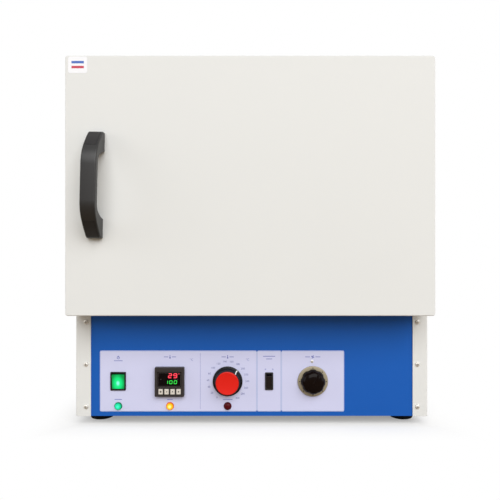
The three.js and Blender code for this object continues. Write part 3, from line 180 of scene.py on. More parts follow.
def finish(name, colour, roughness, grain, relief, cloud=60, shade=0.03, stretch=(1, 1, 1), **more):
    """A finish with a fine relief, and cloudy changes of colour and gloss. The grain, its
    relief and the clouds are in millimetres."""
    made, tree, shader = new_material(name, more)
    here = add_node(tree, "TexCoord", {}).outputs["Object"]
    along = add_node(tree, "Mapping", {"Vector": here, "Scale": stretch}).outputs[0]
    fine = {"Vector": along, "Scale": 1 / (grain * MM), "Detail": 2}
    fine = add_node(tree, "TexNoise", fine).outputs[0]
    bump = add_node(tree, "Bump", {"Height": fine, "Distance": relief * MM}).outputs[0]
    tree.links.new(bump, shader.inputs["Normal"])
    cloudy = {"Vector": here, "Scale": 1 / (cloud * MM), "Detail": 3}
    cloudy = add_node(tree, "TexNoise", cloudy).outputs[0]
    base = linear(colour)
    shades = [[min(1, c * (1 + by)) for c in base[:3]] + [1] for by in (-shade, shade)]
    tint = {0: cloudy, 6: shades[0], 7: shades[1]}
    tint = add_node(tree, "Mix", tint, data_type="RGBA").outputs[2]
    tree.links.new(tint, shader.inputs["Base Color"])
    gloss = {"Value": cloudy, "To Min": roughness * 0.9, "To Max": min(1, roughness * 1.1)}
    gloss = add_node(tree, "MapRange", gloss).outputs[0]
    tree.links.new(gloss, shader.inputs["Roughness"])
    return made


def box(shape, low, high, edge=0, segments=3):
    """A block between two corners, with its edges rounded by edge."""
    size = [b - a for a, b in zip(low, high)]
    middle = [(a + b) / 2 for a, b in zip(low, high)]
    place = Matrix.Translation(middle) @ Matrix.Diagonal((*size, 1))
    corners = bmesh.ops.create_cube(shape, size=1, matrix=place)["verts"]
    if edge:
        edges = list({e for v in corners for e in v.link_edges})
        bevel(shape, edges, edge, segments)


def bevel(shape, geometry, width, segments=3, affect="EDGES"):
    """Rounds edges, or the corners of a flat face."""
    bmesh.ops.bevel(shape, geom=geometry, offset=width, segments=segments, profile=0.5,
                    affect=affect, material=-1, clamp_overlap=True)


def cut(shape, point, normal, clear_outer=False):
    """Cuts a shape along a plane, and can drop what lies past it."""
    everything = shape.verts[:] + shape.edges[:] + shape.faces[:]
    bmesh.ops.bisect_plane(shape, geom=everything, clear_outer=clear_outer, plane_no=normal,
                           plane_co=point)


def open_window(shape, y, x, z):
    """Takes out the part of the wall at y that lies between two x and two z."""
    for side in x:
        cut(shape, (side, 0, 0), (1, 0, 0))
    for level in z:
        cut(shape, (0, 0, level), (0, 0, 1))
    centres = {f: f.calc_center_median() for f in shape.faces}
    opening = [f for f, c in centres.items()
               if abs(c.y - y) < 0.5 and x[0] < c.x < x[1] and z[0] < c.z < z[1]]
    bmesh.ops.delete(shape, geom=opening, context="FACES")


def make(name, shape, material, body, stands_for=(), sharp=35):
    """A shape drawn in millimetres becomes a piece that rides on its body."""
    bmesh.ops.scale(shape, vec=(MM, MM, MM), verts=shape.verts)
    mesh = bpy.data.meshes.new(name)
    shape.to_mesh(mesh)
    shape.free()
    mesh.shade_smooth()
    mesh.set_sharp_from_angle(angle=math.radians(sharp))
    mesh.materials.append(material)
    piece = bpy.data.objects.new(name, mesh)
    bpy.context.scene.collection.objects.link(piece)
    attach(piece, body)
    if stands_for:
        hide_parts(*stands_for)
    return piece


def even_shading(piece):
    """Flat faces keep their even shade beside rounded edges."""
    piece.modifiers.new("even_shading", "WEIGHTED_NORMAL").keep_sharp = True


def folded_sheet(piece, sheet):
    """Gives a skin its sheet thickness, inwards, and breaks the cut edges."""
    solid = piece.modifiers.new("sheet", "SOLIDIFY")
    solid.thickness = sheet * MM
    solid.offset = -1
    solid.use_even_offset = True
    broken = piece.modifiers.new("broken_edges", "BEVEL")
    broken.width = sheet * MM / 5
    broken.segments = 2
    broken.limit_method = "ANGLE"
    broken.angle_limit = math.radians(60)
    even_shading(piece)


# Polyester powder coat, satin: its orange peel is about 1 mm across, drawn at
# 2.2 mm so that it still shows, and its shade drifts a little over the sheet.
cream_powder_coat = finish("cream_powder_coat", "#e4e6e5", 0.52, 2.2, 0.03, 160, 0.012,
                           Specular_IOR_Level=0.2)

sheet_thickness = 1.5
front_return = 24.5
rear_return = 15
fold_radius = 2.2
clipped_corner = 3
low, high, _ = span("outer_shell")
shell_bottom = low.z
skin = bmesh.new()
box(skin, low, high)
underside = [f for f in skin.faces if f.normal.z < -0.5]
bmesh.ops.delete(skin, geom=underside, context="FACES")
for y, width in ((low.y, front_return), (high.y, rear_return)):
    open_window(skin, y, (low.x + width, high.x - width), (shell_bottom - 1, high.z - width))
bmesh.ops.dissolve_limit(skin, angle_limit=0.01, verts=skin.verts[:], edges=skin.edges[:])
folds = [e for e in skin.edges if e.is_manifold and e.calc_face_angle() > 0.5]
bevel(skin, folds, fold_radius, 4)
for side, x in ((-1, low.x), (1, high.x)):
    cut(skin, (x - side * clipped_corner, low.y, shell_bottom), (side, -1, -1), clear_outer=True)
cabinet_skin = make("cabinet_skin", skin, cream_powder_coat, "cabinet",
                    ["outer_shell"])
folded_sheet(cabinet_skin, sheet_thickness)


# Rear panel: a flat cream sheet with pressed louvres over its slots, held by pan
# screws around its edge. The tray below is bare zinc-plated steel.
def dress(name, material, edge=0.3, segments=2):
    """A CAD node that keeps its shape gets its finish and edges that catch the light."""
    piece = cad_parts[name]
    piece.material_slots[0].material = material
    piece.data.shade_smooth()
    piece.modifiers.new("weld", "WELD").merge_threshold = MM / 1000
    flat = piece.modifiers.new("flat", "DECIMATE")
    flat.decimate_type = "DISSOLVE"
    flat.angle_limit = math.radians(0.5)
    if edge:
        rounded = piece.modifiers.new("rounded", "BEVEL")
        rounded.width = edge * MM
        rounded.segments = segments
        rounded.limit_method = "ANGLE"
        rounded.angle_limit = math.radians(40)
    even_shading(piece)
    return piece


def at(place, axis="Y"):
    """Where a turned shape goes: its own Y axis is laid along the axis named."""
    quarters = {"Y": 0, "Z": 1, "-Y": 2, "-Z": -1}[axis]
    return Matrix.Translation(place) @ Matrix.Rotation(quarters * math.pi / 2, 4, "X")


def turn(shape, profile, place, segments=48):
    """A profile of (radius, along) points, turned about Y and then put in its place."""
    old = set(shape.verts)
    line = [shape.verts.new((r, y, 0)) for r, y in profile]
    edges = [shape.edges.new(pair) for pair in zip(line, line[1:])]
    bmesh.ops.spin(shape, geom=line + edges, cent=(0, 0, 0), axis=(0, 1, 0), dvec=(0, 0, 0),
                   angle=2 * math.pi, steps=segments, use_merge=True, use_duplicate=False)
    fresh = [v for v in shape.verts if v not in old]
    bmesh.ops.remove_doubles(shape, verts=fresh, dist=0.0005)
    fresh = [v for v in shape.verts if v not in old]
    faces = list({f for v in fresh for f in v.link_faces})
    bmesh.ops.recalc_face_normals(shape, faces=faces)
    bmesh.ops.transform(shape, matrix=place, verts=fresh)


def screw_head(shape, marks, place, radius, axis):
    """A pan head that stands out against its axis, and the cross in its crown."""
    tall = radius * 0.6
    profile = [(0, -tall), (radius * 0.45, -tall * 0.95), (radius * 0.8, -tall * 0.72),
               (radius * 0.97, -tall * 0.3), (radius, 0), (0, 0)]
    turn(shape, profile, at(place, axis), 24)
    arm, slot = radius * 0.5, radius * 0.13
    crown = tall * 0.99
    for half_x, half_z in ((arm, slot), (slot, arm)):
        old = set(marks.verts)
        box(marks, (-half_x, -crown - 0.03, -half_z), (half_x, -crown + 0.3, half_z))
        fresh = [v for v in marks.verts if v not in old]
        bmesh.ops.transform(marks, matrix=at(place, axis), verts=fresh)


def pan_screws(names, places, radius, body, axis="Y", stands_for=()):
    """Pan-head screws at some places, as two pieces: their heads, and their crosses in painted recess
    shade.
    """
    heads, crosses = bmesh.new(), bmesh.new()
    for place in places:
        screw_head(heads, crosses, place, radius, axis)
    make(names[0], heads, screw_steel, body, stands_for)
    make(names[1], crosses, painted_recess_shade, body)


def around(middle, y, reach_x, reach_z):
    """Eight places: the corners of a rectangle, and the middles of its sides."""
    ways = [(across, up) for across in (-1, 0, 1) for up in (-1, 0, 1) if across or up]
    return [(middle.x + across * reach_x, y, middle.z + up * reach_z) for across, up in ways]


# Zinc plate, blue passivated: soft grey gloss, clouded by the plating bath.
zinc_plate = finish("zinc_plated_steel", "#a9adb0", 0.38, 1.2, 0.01, 25, 0.08, Metallic=1)
# Plated screw steel: pale, with a soft shine and a fine grain.
screw_steel = finish("bright_screw_steel", "#e0ddd6", 0.5, 0.8, 0.01, 10, 0.05, Metallic=0.6)
# Inside a screw's cross: a dull warm grey on a flat mark, painted shade for the
# recess, since little light gets in.
painted_recess_shade = finish("painted_screw_recess_shade", "#a09b95", 0.8, 0.5, 0.01)

rear_screw_radius = 3.4
rear_screw_inset = 9
louvre_length, louvre_pitch, louvre_rows = 70, 14, 5
louvre_lowest, louvre_spread = 62, 95
hood_margin, hood_round = 2, 3
hood_sunk, hood_depth = 0.5, 4.5
hood_below, hood_above = 1, 5.5
dress("rear_panel", cream_powder_coat)
dress("base_tray", zinc_plate)
low, high, middle = span("rear_panel")
slots_middle = span("fascia_panel")[2].x
hood_half = louvre_length / 2 + hood_margin
hoods = bmesh.new()
for side in (-1, 1):
    for row in range(louvre_rows):
        x = slots_middle + side * louvre_spread
        z = shell_bottom + louvre_lowest + row * louvre_pitch
        box(hoods, (x - hood_half, high.y - hood_sunk, z - hood_below),
            (x + hood_half, high.y + hood_depth, z + hood_above), hood_round, 4)
make("rear_louvre_hoods", hoods, cream_powder_coat, "cabinet")
reach_x = (high.x - low.x) / 2 - rear_screw_inset
reach_z = (high.z - low.z) / 2 - rear_screw_inset
pan_screws(("rear_panel_screws", "rear_panel_screw_crosses"),
           around(middle, high.y, reach_x, reach_z), rear_screw_radius, "cabinet", "-Y")

# Fascia: steel folded back at its top and bottom and powder coated a strong blue,
# screwed behind the skin's front returns by six pan-head screws.
flange_screws = [f"{height}_{side}_screw" for height in ("lower", "middle", "upper")
                 for side in ("left", "right")]
# Blue powder coat: a little glossier than the cream, with the same orange peel.
blue_powder_coat = finish("blue_powder_coat", "#185db8", 0.36, 2.2, 0.03, 110, 0.03,
                          Specular_IOR_Level=0.25)
dress("fascia_panel", blue_powder_coat)
shell_face = span("outer_shell")[0].y
low, high, _ = span(flange_screws[0])
middles = [span(name)[2] for name in flange_screws]
places = [(middle.x, shell_face, middle.z) for middle in middles]
pan_screws(("flange_screw_heads", "flange_screw_crosses"), places, (high.x - low.x) / 2,
           "cabinet", stands_for=flange_screws)

# Feet: four moulded rubber buffers, screwed up into the tray.
# Natural rubber with carbon black: dull, faintly dusty.
foot_rubber = finish("moulded_foot_rubber", "#0f0e0e", 0.75, 1.5, 0.05, 12, 0.2,
                     Specular_IOR_Level=0.2)
feet = bmesh.new()
foot_nodes = [f"{end}_{side}_foot" for end in ("front", "rear") for side in ("left", "right")]
for name in foot_nodes:
    low, high, middle = span(name)
    radius, height = (high.x - low.x) / 2, high.z - low.z
    profile = [(0, 0), (radius - 3.5, 0), (radius - 1, 1), (radius, 3.2),
               (radius - 0.5, height - 5), (radius - 2.5, height - 1.2), (radius - 4, height),
               (0, height)]
    turn(feet, profile, at((middle.x, middle.y, low.z), "Z"))
make("rubber_feet", feet, foot_rubber, "cabinet", foot_nodes)


# Control label: one printed polycarbonate film in three panels with thin borders,
# rules and small pictograms where the controls are.
def plate(shape, x, z, y, corner, rim=None, segments=5):
    """A flat plate between x, z and y[0] to y[1], its corners rounded as seen from the
    front. With a rim, only a border of that width is left."""
    old = set(shape.verts)
    lie = Matrix.Translation(((x[0] + x[1]) / 2, y[1], (z[0] + z[1]) / 2))
    lie = lie @ Matrix.Rotation(math.pi / 2, 4, "X")
    lie = lie @ Matrix.Diagonal((x[1] - x[0], z[1] - z[0], 1, 1))
    corners = bmesh.ops.create_grid(shape, x_segments=1, y_segments=1, size=0.5, matrix=lie)["verts"]
    if corner:
        bevel(shape, corners, corner, segments, "VERTICES")
    face = next(f for v in shape.verts if v not in old for f in v.link_faces)
    faces = [face]
    if rim:
        faces = bmesh.ops.inset_region(shape, faces=[face], thickness=rim, use_boundary=True,
                                       use_even_offset=True)["faces"]
        bmesh.ops.delete(shape, geom=[face], context="FACES")
    grown = bmesh.ops.extrude_face_region(shape, geom=faces)["geom"]
    front = [g for g in grown if isinstance(g, bmesh.types.BMVert)]
    bmesh.ops.translate(shape, vec=(0, y[0] - y[1], 0), verts=front)
    fresh = [v for v in shape.verts if v not in old]
    bmesh.ops.recalc_face_normals(shape, faces=list({f for v in fresh for f in v.link_faces}))


def flat_polygon(shape, sides, radius, thick, place, degrees):
    """A thin plate with equal sides and one corner up, turned anticlockwise as seen from
    the front."""
    lie = at(place, "Z") @ Matrix.Rotation(math.radians(degrees), 4, "Z")
    bmesh.ops.create_cone(shape, cap_ends=True, segments=sides, radius1=radius,
                          radius2=radius, depth=thick, matrix=lie)


def turned_about(shape, build, place, degrees):
    """What build adds to a shape, turned clockwise about a place as seen from the front."""
    old = set(shape.verts)
    build()
    fresh = [v for v in shape.verts if v not in old]
    spin = Matrix.Rotation(math.radians(degrees), 4, "Y")
    bmesh.ops.transform(shape, matrix=Matrix.Translation(place) @ spin, verts=fresh)


def add_curve(shape, curve, place=Matrix()):
    """Adds a curve or a text to a shape, made a mesh and then put in its place."""
    holder = bpy.data.objects.new("holder", curve)
    bpy.context.scene.collection.objects.link(holder)
    solid = holder.evaluated_get(bpy.context.evaluated_depsgraph_get())
    mesh = bpy.data.meshes.new_from_object(solid)
    mesh.transform(place)
    shape.from_mesh(mesh)
    bpy.data.objects.remove(holder)
    bpy.data.meshes.remove(mesh)


# Screen-printed polycarbonate: lilac white, satin, with a faint texture.
label_film = finish("printed_label_film", "#d3d6f5", 0.5, 1.4, 0.01, 90, 0.02,
                    Specular_IOR_Level=0.3)
# Screen inks: even and satin, standing a hair above the film.
border_ink = finish("label_border_ink", "#b2bfe6", 0.5, 1.4, 0.01)
blue_ink = finish("label_blue_ink", "#6570bd", 0.5, 1.4, 0.01)
ink = 0.05
border_width, border_inset, border_corner = 1, 0.25, 2.4
panel_widths = (258, 40, 103.3)
dress("control_label", label_film, 0.12)
label_low, label_high, label_middle = span("control_label")
label_face = label_low.y
printed = (label_face - ink, label_face)
borders = bmesh.new()
left = label_low.x
for width in panel_widths:
    plate(borders, (left + border_inset, left + width - border_inset),
          (label_low.z + border_inset, label_high.z - border_inset), printed, border_corner,
          border_width)
    left += width
make("label_borders", borders, border_ink, "cabinet")
# Where two panels meet, their round corners leave notches of the fascia's blue.
notches = bmesh.new()
notch_radius = 1.6
for x in (label_low.x + panel_widths[0], label_high.x - panel_widths[2]):
    for z, degrees in ((label_high.z - notch_radius / 2, 180), (label_low.z + notch_radius / 2, 0)):
        flat_polygon(notches, 3, notch_radius, 2 * ink, (x, printed[0], z), degrees)
make("label_notches", notches, blue_powder_coat, "cabinet")

power_x = span("power_switch_body")[2].x
controller_x = span("controller_case")[2].x
thermostat_x = span("thermostat_knob")[2].x
mode_x = span("mode_switch_body")[2].x
fan_x = span("fan_dial")[2].x
control_line = span("power_switch_body")[2].z
lamp_line = span("power_lamp")[2].z
caption_line = label_high.z - 10.3
print_shape = bmesh.new()


def rule(x, z, width, height=1):
    """A printed bar, centred on a place."""
    box(print_shape, (x - width / 2, printed[0], z - height / 2),
        (x + width / 2, printed[1], z + height / 2))


def ring(x, z, radius, width):
    """A printed ring, centred on a place."""
    hole = radius - width
    profile = [(hole, 0), (radius, 0), (radius, ink), (hole, ink), (hole, 0)]
    turn(print_shape, profile, at((x, printed[0], z)), 32)


def lettering(shape, text, height, x, z):
    """Generic characters in flat ink, centred on a place. Capitals and digits are 0.7 of
    the font's size."""
    curve = bpy.data.curves.new("letters", "FONT")
    curve.body = text
    curve.size = height / 0.7
    curve.resolution_u = 2
    curve.align_x, curve.align_y = "CENTER", "CENTER"
    curve.extrude = ink / 2
    add_curve(shape, curve, at((x, printed[0] + ink / 2, z), "Z"))


# Power: the standard ring and bar, over a short rule.
ring(power_x, caption_line - 1.4, 2.4, 0.9)
rule(power_x, caption_line + 0.4, 0.9, 3)
rule(power_x, caption_line - 6.4, 14)
# Temperature: a small thermometer between two rules, once for the controller and
# once for the safety thermostat, each with its unit.
for x in (controller_x, thermostat_x):
    rule(x, caption_line + 0.8, 1.1, 4.4)
    ring(x, caption_line - 1.6, 1.3, 1.2)
    for side in (-1, 1):
        rule(x + side * 6.5, caption_line, 7)
unit_height, unit_drop = 3.6, 4.8
for x in (controller_x + 35.3, thermostat_x + 32.6):
    lettering(print_shape, "°C", unit_height, x, caption_line - unit_drop)
# Fan speed: four blades around a hub.
blade_low, blade_high, blade_tilt = (-0.6, 0, 0.9), (0.9, ink, 2.6), 20
for quarter in range(4):
    turned_about(print_shape, lambda: box(print_shape, blade_low, blade_high),
                 (fan_x, printed[0], caption_line), 90 * quarter + blade_tilt)
ring(fan_x, caption_line, 0.8, 0.7)
for side in (-1, 1):
    rule(fan_x + side * 8.5, caption_line, 8)
# Mode switch: two short rules, and a mark on each side above the rocker.
rule(mode_x, caption_line + 1, 20)
rule(mode_x, caption_line - 3.4, 10)
for side in (-1, 1):
    ring(mode_x + side * 6, control_line + 19.3, 1.1, 0.5)
# A short rule over each lamp, and the hairline between controller and thermostat.
for x, width in ((power_x, 12), (controller_x, 9), (thermostat_x, 16)):
    rule(x, lamp_line + 10.9, width)
hairline_x = label_low.x + 165
rule(hairline_x, label_middle.z, 0.4, label_high.z - label_low.z - 8)
make("label_pictograms", print_shape, blue_ink, "cabinet")

# Thermostat scale: 0 to 300 degrees in steps of 20, printed around the knob in a
# darker blue ink, from its lower left round to its lower right.
scale_ink = finish("label_scale_ink", "#5d66a8", 0.5, 1.4, 0.01)
scale_radius, scale_start, scale_step, scale_height = 32.3, -147, 0.99, 3.1
scale = bmesh.new()
for degrees in range(0, 301, 20):
    angle = math.radians(scale_start + degrees * scale_step)
    lettering(scale, str(degrees), scale_height, thermostat_x + scale_radius * math.sin(angle),
              control_line + scale_radius * math.cos(angle))
make("thermostat_scale", scale, scale_ink, "cabinet")


# Power switch: a snap-in rocker switch in a black nylon bezel. Its translucent green
# rocker is lit from behind, brightest below its middle, and its glow fades to a dark
# green rim that is painted shade from the bezel over the rocker's ends and edges.
def glowing(name, middle, reach, shades, strength, base, **more):
    """A lit lens, with a glow that reaches so far across and up from its middle. It has a
    core, a body and a rim, each given as a share of the reach and a colour."""
    plain = {"Base_Color": linear(base), "Roughness": 0.25, "Emission_Strength": strength}
    made, tree, shader = new_material(name, plain | more)
    here = add_node(tree, "TexCoord", {}).outputs["Object"]
    size = [1 / (reach[0] * MM), 0, 1 / (reach[1] * MM)]
    shift = [-m * MM * s for m, s in zip(middle, size)]
    here = add_node(tree, "Mapping", {"Vector": here, "Location": shift, "Scale": size}).outputs[0]
    fade = add_node(tree, "TexGradient", {"Vector": here}, gradient_type="SPHERICAL").outputs["Fac"]
    ramp = add_node(tree, "ValToRGB", {"Fac": fade})
    ramp.color_ramp.interpolation = "EASE"
    ramp.color_ramp.elements.new(0.5)
    for stop, (share, colour) in zip(ramp.color_ramp.elements, reversed(shades)):
        stop.position = 1 - share
        stop.color = linear(colour)
    tree.links.new(ramp.outputs["Color"], shader.inputs["Emission Color"])
    return made


# Nylon, moulded smooth: satin black.
bezel_nylon = finish("bezel_black_nylon", "#171416", 0.4, 0.9, 0.01, 30, 0.06,
                     Specular_IOR_Level=0.3)
dress("power_switch_body", bezel_nylon, 0.35, 3)
low, _, middle = span("power_rocker")
glow_drop, glow_reach = 2.4, (12.3, 18.5)
# The rim colour is painted shade, where the bezel shades the rocker's ends and edges.
rocker_glow_and_painted_shade = [(0.04, "#98fff4"), (0.32, "#14ee84"), (0.95, "#0a8a40")]
green_rocker = glowing("lit_green_rocker", (middle.x, low.y, middle.z - glow_drop), glow_reach,
                       rocker_glow_and_painted_shade, 1, "#04401c", Specular_IOR_Level=0.2)
dress("power_rocker", green_rocker, 0.5, 3)

# Mode switch: the same kind of snap-in switch, small and unlit, with a black rocker.
# Its body is moulded nylon, satin and a little greyer than the power switch's bezel.
panel_nylon = finish("switch_black_nylon", "#2d2a2c", 0.42, 0.9, 0.01, 30, 0.06,
                     Specular_IOR_Level=0.3)
# Polished plastic: near-black, with sharp reflections.
gloss_black = finish("polished_black_plastic", "#120c10", 0.14, 2, 0.004, 12, 0.1)
dress("mode_switch_body", panel_nylon, 0.35, 3)
dress("mode_rocker", gloss_black, 0.4, 3)

# Temperature controller: a 48 mm square case in dark textured plastic, a smoked
# window with two rows of seven-segment digits, and four rubber keys.
case_plastic = finish("controller_case_plastic", "#2c2728", 0.4, 0.8, 0.02, 30, 0.05)
# Smoked acrylic: almost black, flat and glossy.
smoked_window = finish("smoked_display_window", "#0d0709", 0.08, 20, 0.001,
                       Specular_IOR_Level=0.12)
# Moulded rubber: a warm pale grey, matt.
key_rubber = finish("moulded_key_rubber", "#d8d2c8", 0.6, 0.7, 0.01, 10, 0.03)
# Pad-printed inks: flat dark greys.
key_ink = finish("key_symbol_ink", "#3c3936", 0.6, 0.7, 0.01)
frame_print = finish("display_frame_print", "#56504f", 0.5, 0.7, 0.01)
# Light-emitting segments: each row glows evenly in one colour.
red_digits = finish("lit_red_digits", "#5a0d0a", 0.4, 1, 0.001, Emission_Strength=1.5,
                    Emission_Color=linear("#ff4256"))
green_digits = finish("lit_green_digits", "#0a4a10", 0.4, 1, 0.001, Emission_Strength=1.05,
                      Emission_Color=linear("#35f04e"))
dress("controller_case", case_plastic, 0.4, 3)
dress("controller_window", smoked_window, 0.15)
window_low, window_high, window_middle = span("controller_window")
window_face = window_low.y
bar_places = {"a": (0, 1, 0), "b": (1, 0.5, 1), "c": (1, -0.5, 1), "d": (0, -1, 0),
              "e": (-1, -0.5, 1), "f": (-1, 0.5, 1), "g": (0, 0, 0)}
lit_bars = {"0": "abcdef", "1": "bc", "2": "abged", "9": "abcdfg"}
bar_clearance, digit_lean = 0.12, 0.09


def digits(shape, text, right, bottom, width, height, gap, bar):
    """Seven-segment digits, right-aligned, leaning a little like real ones."""
    old = set(shape.verts)
    front = window_face - ink
    for i, character in enumerate(reversed(text)):
        x = right - width / 2 - i * (width + gap)
        z = bottom + height / 2
        for name in lit_bars[character]:
            across, up, upright = bar_places[name]
            cx = x + across * (width - bar) / 2
            cz = z + up * (height - bar) / 2
            along = ((height - bar) / 4 if upright else (width - bar) / 2) - bar_clearance
            half_x, half_z = (bar / 2, along) if upright else (along, bar / 2)
            box(shape, (cx - half_x, front, cz - half_z), (cx + half_x, front + ink, cz + half_z))
    lean = Matrix.Shear("XY", 4, (0, 0))
    lean[0][2] = digit_lean
    lean = Matrix.Translation((right, 0, bottom)) @ lean @ Matrix.Translation((-right, 0, -bottom))
    bmesh.ops.transform(shape, matrix=lean, verts=[v for v in shape.verts if v not in old])


shape = bmesh.new()
digits(shape, "29", window_high.x - 6.7, window_high.z - 9.5, width=6.2, height=7.6, gap=2.3, bar=1.2)
degree_x, degree_z, degree_size = window_high.x - 4.1, window_high.z - 3.3, 1.2
box(shape, (degree_x, window_face - ink, degree_z),
    (degree_x + degree_size, window_face, degree_z + degree_size))
make("measured_temperature", shape, red_digits, "cabinet")
shape = bmesh.new()
digits(shape, "100", window_high.x - 6.9, window_low.z + 4.5, width=5.2, height=5.9, gap=2.2, bar=1)
make("set_temperature", shape, green_digits, "cabinet")
frame_inset, frame_corner, frame_line = 0.7, 1, 0.35
mark_half_x, mark_half_z = 0.9, 0.3
shape = bmesh.new()
plate(shape, (window_low.x + frame_inset, window_high.x - frame_inset),
      (window_low.z + frame_inset, window_high.z - frame_inset), (window_face - ink, window_face),
      frame_corner, frame_line)
mark_z = window_middle.z + 0.4
for x in (window_low.x + 5.4, window_high.x - 10, window_high.x - 6):
    box(shape, (x - mark_half_x, window_face - ink, mark_z - mark_half_z),
        (x + mark_half_x, window_face, mark_z + mark_half_z))
make("display_frame_marks", shape, frame_print, "cabinet")
# Key symbols: a dot, two arrowheads and a square, given as sides and turn.
key_symbols = {"page_key": (24, 0), "down_key": (3, 180), "up_key": (3, 0), "set_key": (4, 45)}
key_symbol_radius = 1.5
for name, (sides, degrees) in key_symbols.items():
    dress(name, key_rubber, 0.5, 3)
    low, _, middle = span(name)
    symbol = bmesh.new()
    flat_polygon(symbol, sides, key_symbol_radius, ink, (middle.x, low.y - ink / 2, middle.z),
                 degrees)
    make(name + "_symbol", symbol, key_ink, name)

# Safety thermostat: a skirted knob in black plastic with fine ribs, a white line
# across its skirt and a flat red cap pressed into its front.
# Moulded cap: bright red, satin.
red_plastic = finish("moulded_red_cap", "#e01c10", 0.4, 1, 0.01, 20, 0.04, Specular_IOR_Level=0.3)
# Stamped line: flat white.
white_line_ink = finish("white_pointer_ink", "#f1f1ee", 0.5, 1, 0.01)
# Moulded knob: black, satin, with faint clouds from the moulding.
knob_plastic = finish("knob_black_plastic", "#111114", 0.42, 0.9, 0.01, 20, 0.08,
                      Specular_IOR_Level=0.2)
# Glass-filled nylon, moulded with a fine spark texture: satin near-black.
satin_nylon = finish("textured_black_nylon", "#262525", 0.5, 1.1, 0.03, 30, 0.06)


def ribbed(shape, middle, count, depth, radii):
    """Presses hollows around the wall of a turned shape, between two radii."""
    for vertex in shape.verts:
        x, z = vertex.co.x - middle[0], vertex.co.z - middle[1]
        radius = math.hypot(x, z)
        if radii[0] <= radius <= radii[1]:
            wave = (1 - math.cos(count * math.atan2(x, z))) / 2
            share = 1 - depth * wave / radius
            vertex.co.x, vertex.co.z = middle[0] + x * share, middle[1] + z * share


def spindle(shape, start, centre):
    """The spindle of a knob, from the knob's back into the body behind the panel."""
    radius, end = 3, label_face + 14
    turn(shape, [(0, start), (radius, start), (radius, end), (0, end)], at(centre), 24)


def strip(shape, profile, width, lift):
    """A thin flat strip up the outside of a turned profile, at its top."""
    sides = (-width / 2, width / 2)
    rows = [[shape.verts.new((x, y - lift, r + lift)) for x in sides] for r, y in profile]
    for (a, b), (c, d) in zip(rows, rows[1:]):
        shape.faces.new((a, b, d, c))


low, high, _ = span("thermostat_knob")
back, front = label_face - 1, low.y
cap_low, cap_high, _ = span("thermostat_cap")
cap_radius = (cap_high.x - cap_low.x) / 2
skirt_radius = (high.x - low.x) / 2
rib_count, rib_depth = 45, 0.35
pointer_width, pointer_lift, pointer_angle = 1.7, 0.12, 42
thermostat_centre = (thermostat_x, 0, control_line)
knob = bmesh.new()
grip_outline = [(0, back), (skirt_radius - 0.6, back), (skirt_radius, back - 0.5),
                (skirt_radius, back - 1.4), (skirt_radius - 0.6, back - 2),
                (cap_radius + 3.1, back - 2.7), (cap_radius + 1.9, back - 4.6),
                (cap_radius + 1.4, front + 5), (cap_radius + 1.2, front + 1),
                (cap_radius + 0.6, front + 0.1), (cap_radius + 0.25, front),
                (cap_radius + 0.25, front + 1.8), (0, front + 1.8)]
turn(knob, grip_outline, at(thermostat_centre), 180)
ribbed(knob, (thermostat_x, control_line), rib_count, rib_depth,
       (cap_radius + 0.9, cap_radius + 2.1))
spindle(knob, back, thermostat_centre)
make("thermostat_grip", knob, knob_plastic, "thermostat_knob", ["thermostat_knob"])
cap = bmesh.new()
profile = [(0, front + 1.5), (cap_radius, front + 1.5), (cap_radius, cap_low.y + 1),
           (cap_radius - 0.3, cap_low.y + 0.3), (cap_radius - 1, cap_low.y),
           (cap_radius - 1.6, cap_low.y + 0.15), (0, cap_low.y + 0.1)]
turn(cap, profile, at(thermostat_centre), 96)
make("thermostat_red_cap", cap, red_plastic, "thermostat_knob", ["thermostat_cap"])
pointer = bmesh.new()
line_outline = grip_outline[4:10]
turned_about(pointer, lambda: strip(pointer, line_outline, pointer_width, pointer_lift),
             thermostat_centre, pointer_angle)
make("thermostat_pointer_line", pointer, white_line_ink, "thermostat_knob")
dress("thermostat_body", satin_nylon, 0.5)

# Fan speed: a champagne-anodised dial ring with dark marks, held by a small screw,
# and a glossy black knob with eight finger hollows and a raised pointer.
# Anodised aluminium: a warm metal sheen, softened by its fine etch.
champagne_anodised = finish("champagne_anodised_ring", "#a39982", 0.55, 0.8, 0.01, 30, 0.05,
                            Metallic=0.25)
# Printed marks: flat dark brown.
dark_mark_ink = finish("dial_mark_ink", "#35302a", 0.5, 1, 0.01)
# Polished knob plastic: black, with clear reflections.
knob_gloss = finish("polished_knob_plastic", "#140c0a", 0.1, 2, 0.004, 12, 0.1,
                    Specular_IOR_Level=0.08)
fan_centre = (fan_x, 0, control_line)
low, high, _ = span("fan_dial")
ring_radius, ring_back, ring_front = (high.x - low.x) / 2, high.y, low.y
ring_bore = 3.3
dial = bmesh.new()
profile = [(ring_bore, ring_back), (ring_radius - 0.3, ring_back), (ring_radius, ring_back - 0.5),
           (ring_radius - 0.5, ring_front + 0.7), (ring_radius - 1.4, ring_front + 0.1),
           (ring_radius - 2.4, ring_front), (ring_bore, ring_front + 0.25),
           (ring_bore, ring_back)]
turn(dial, profile, at(fan_centre), 128)
make("fan_dial_ring", dial, champagne_anodised, "cabinet", ["fan_dial"])
marks = bmesh.new()
mark_low = (-0.9, ring_front - 0.04, ring_radius - 4)
mark_high = (0.9, ring_front + 0.25, ring_radius - 2.2)
for hour in (12, 1.5, 3, 4.5, 6, 7.5, 9):
    turned_about(marks, lambda: box(marks, mark_low, mark_high), fan_centre, hour * 30)
make("fan_dial_marks", marks, dark_mark_ink, "cabinet")

low, high, _ = span("fan_knob")
knob_radius, knob_back, crown = (high.x - low.x) / 2, ring_front - 0.3, low.y
knob_height = knob_back - crown
knob = bmesh.new()
dome = [(1, 0), (1.0, 0.1), (0.985, 0.25), (0.955, 0.42), (0.9, 0.6), (0.82, 0.75), (0.7, 0.865),
        (0.53, 0.945), (0.33, 0.985), (0.15, 1), (0, 1)]
profile = [(0, knob_back)] + [(r * knob_radius, knob_back - y * knob_height) for r, y in dome]
turn(knob, profile, at(fan_centre), 160)
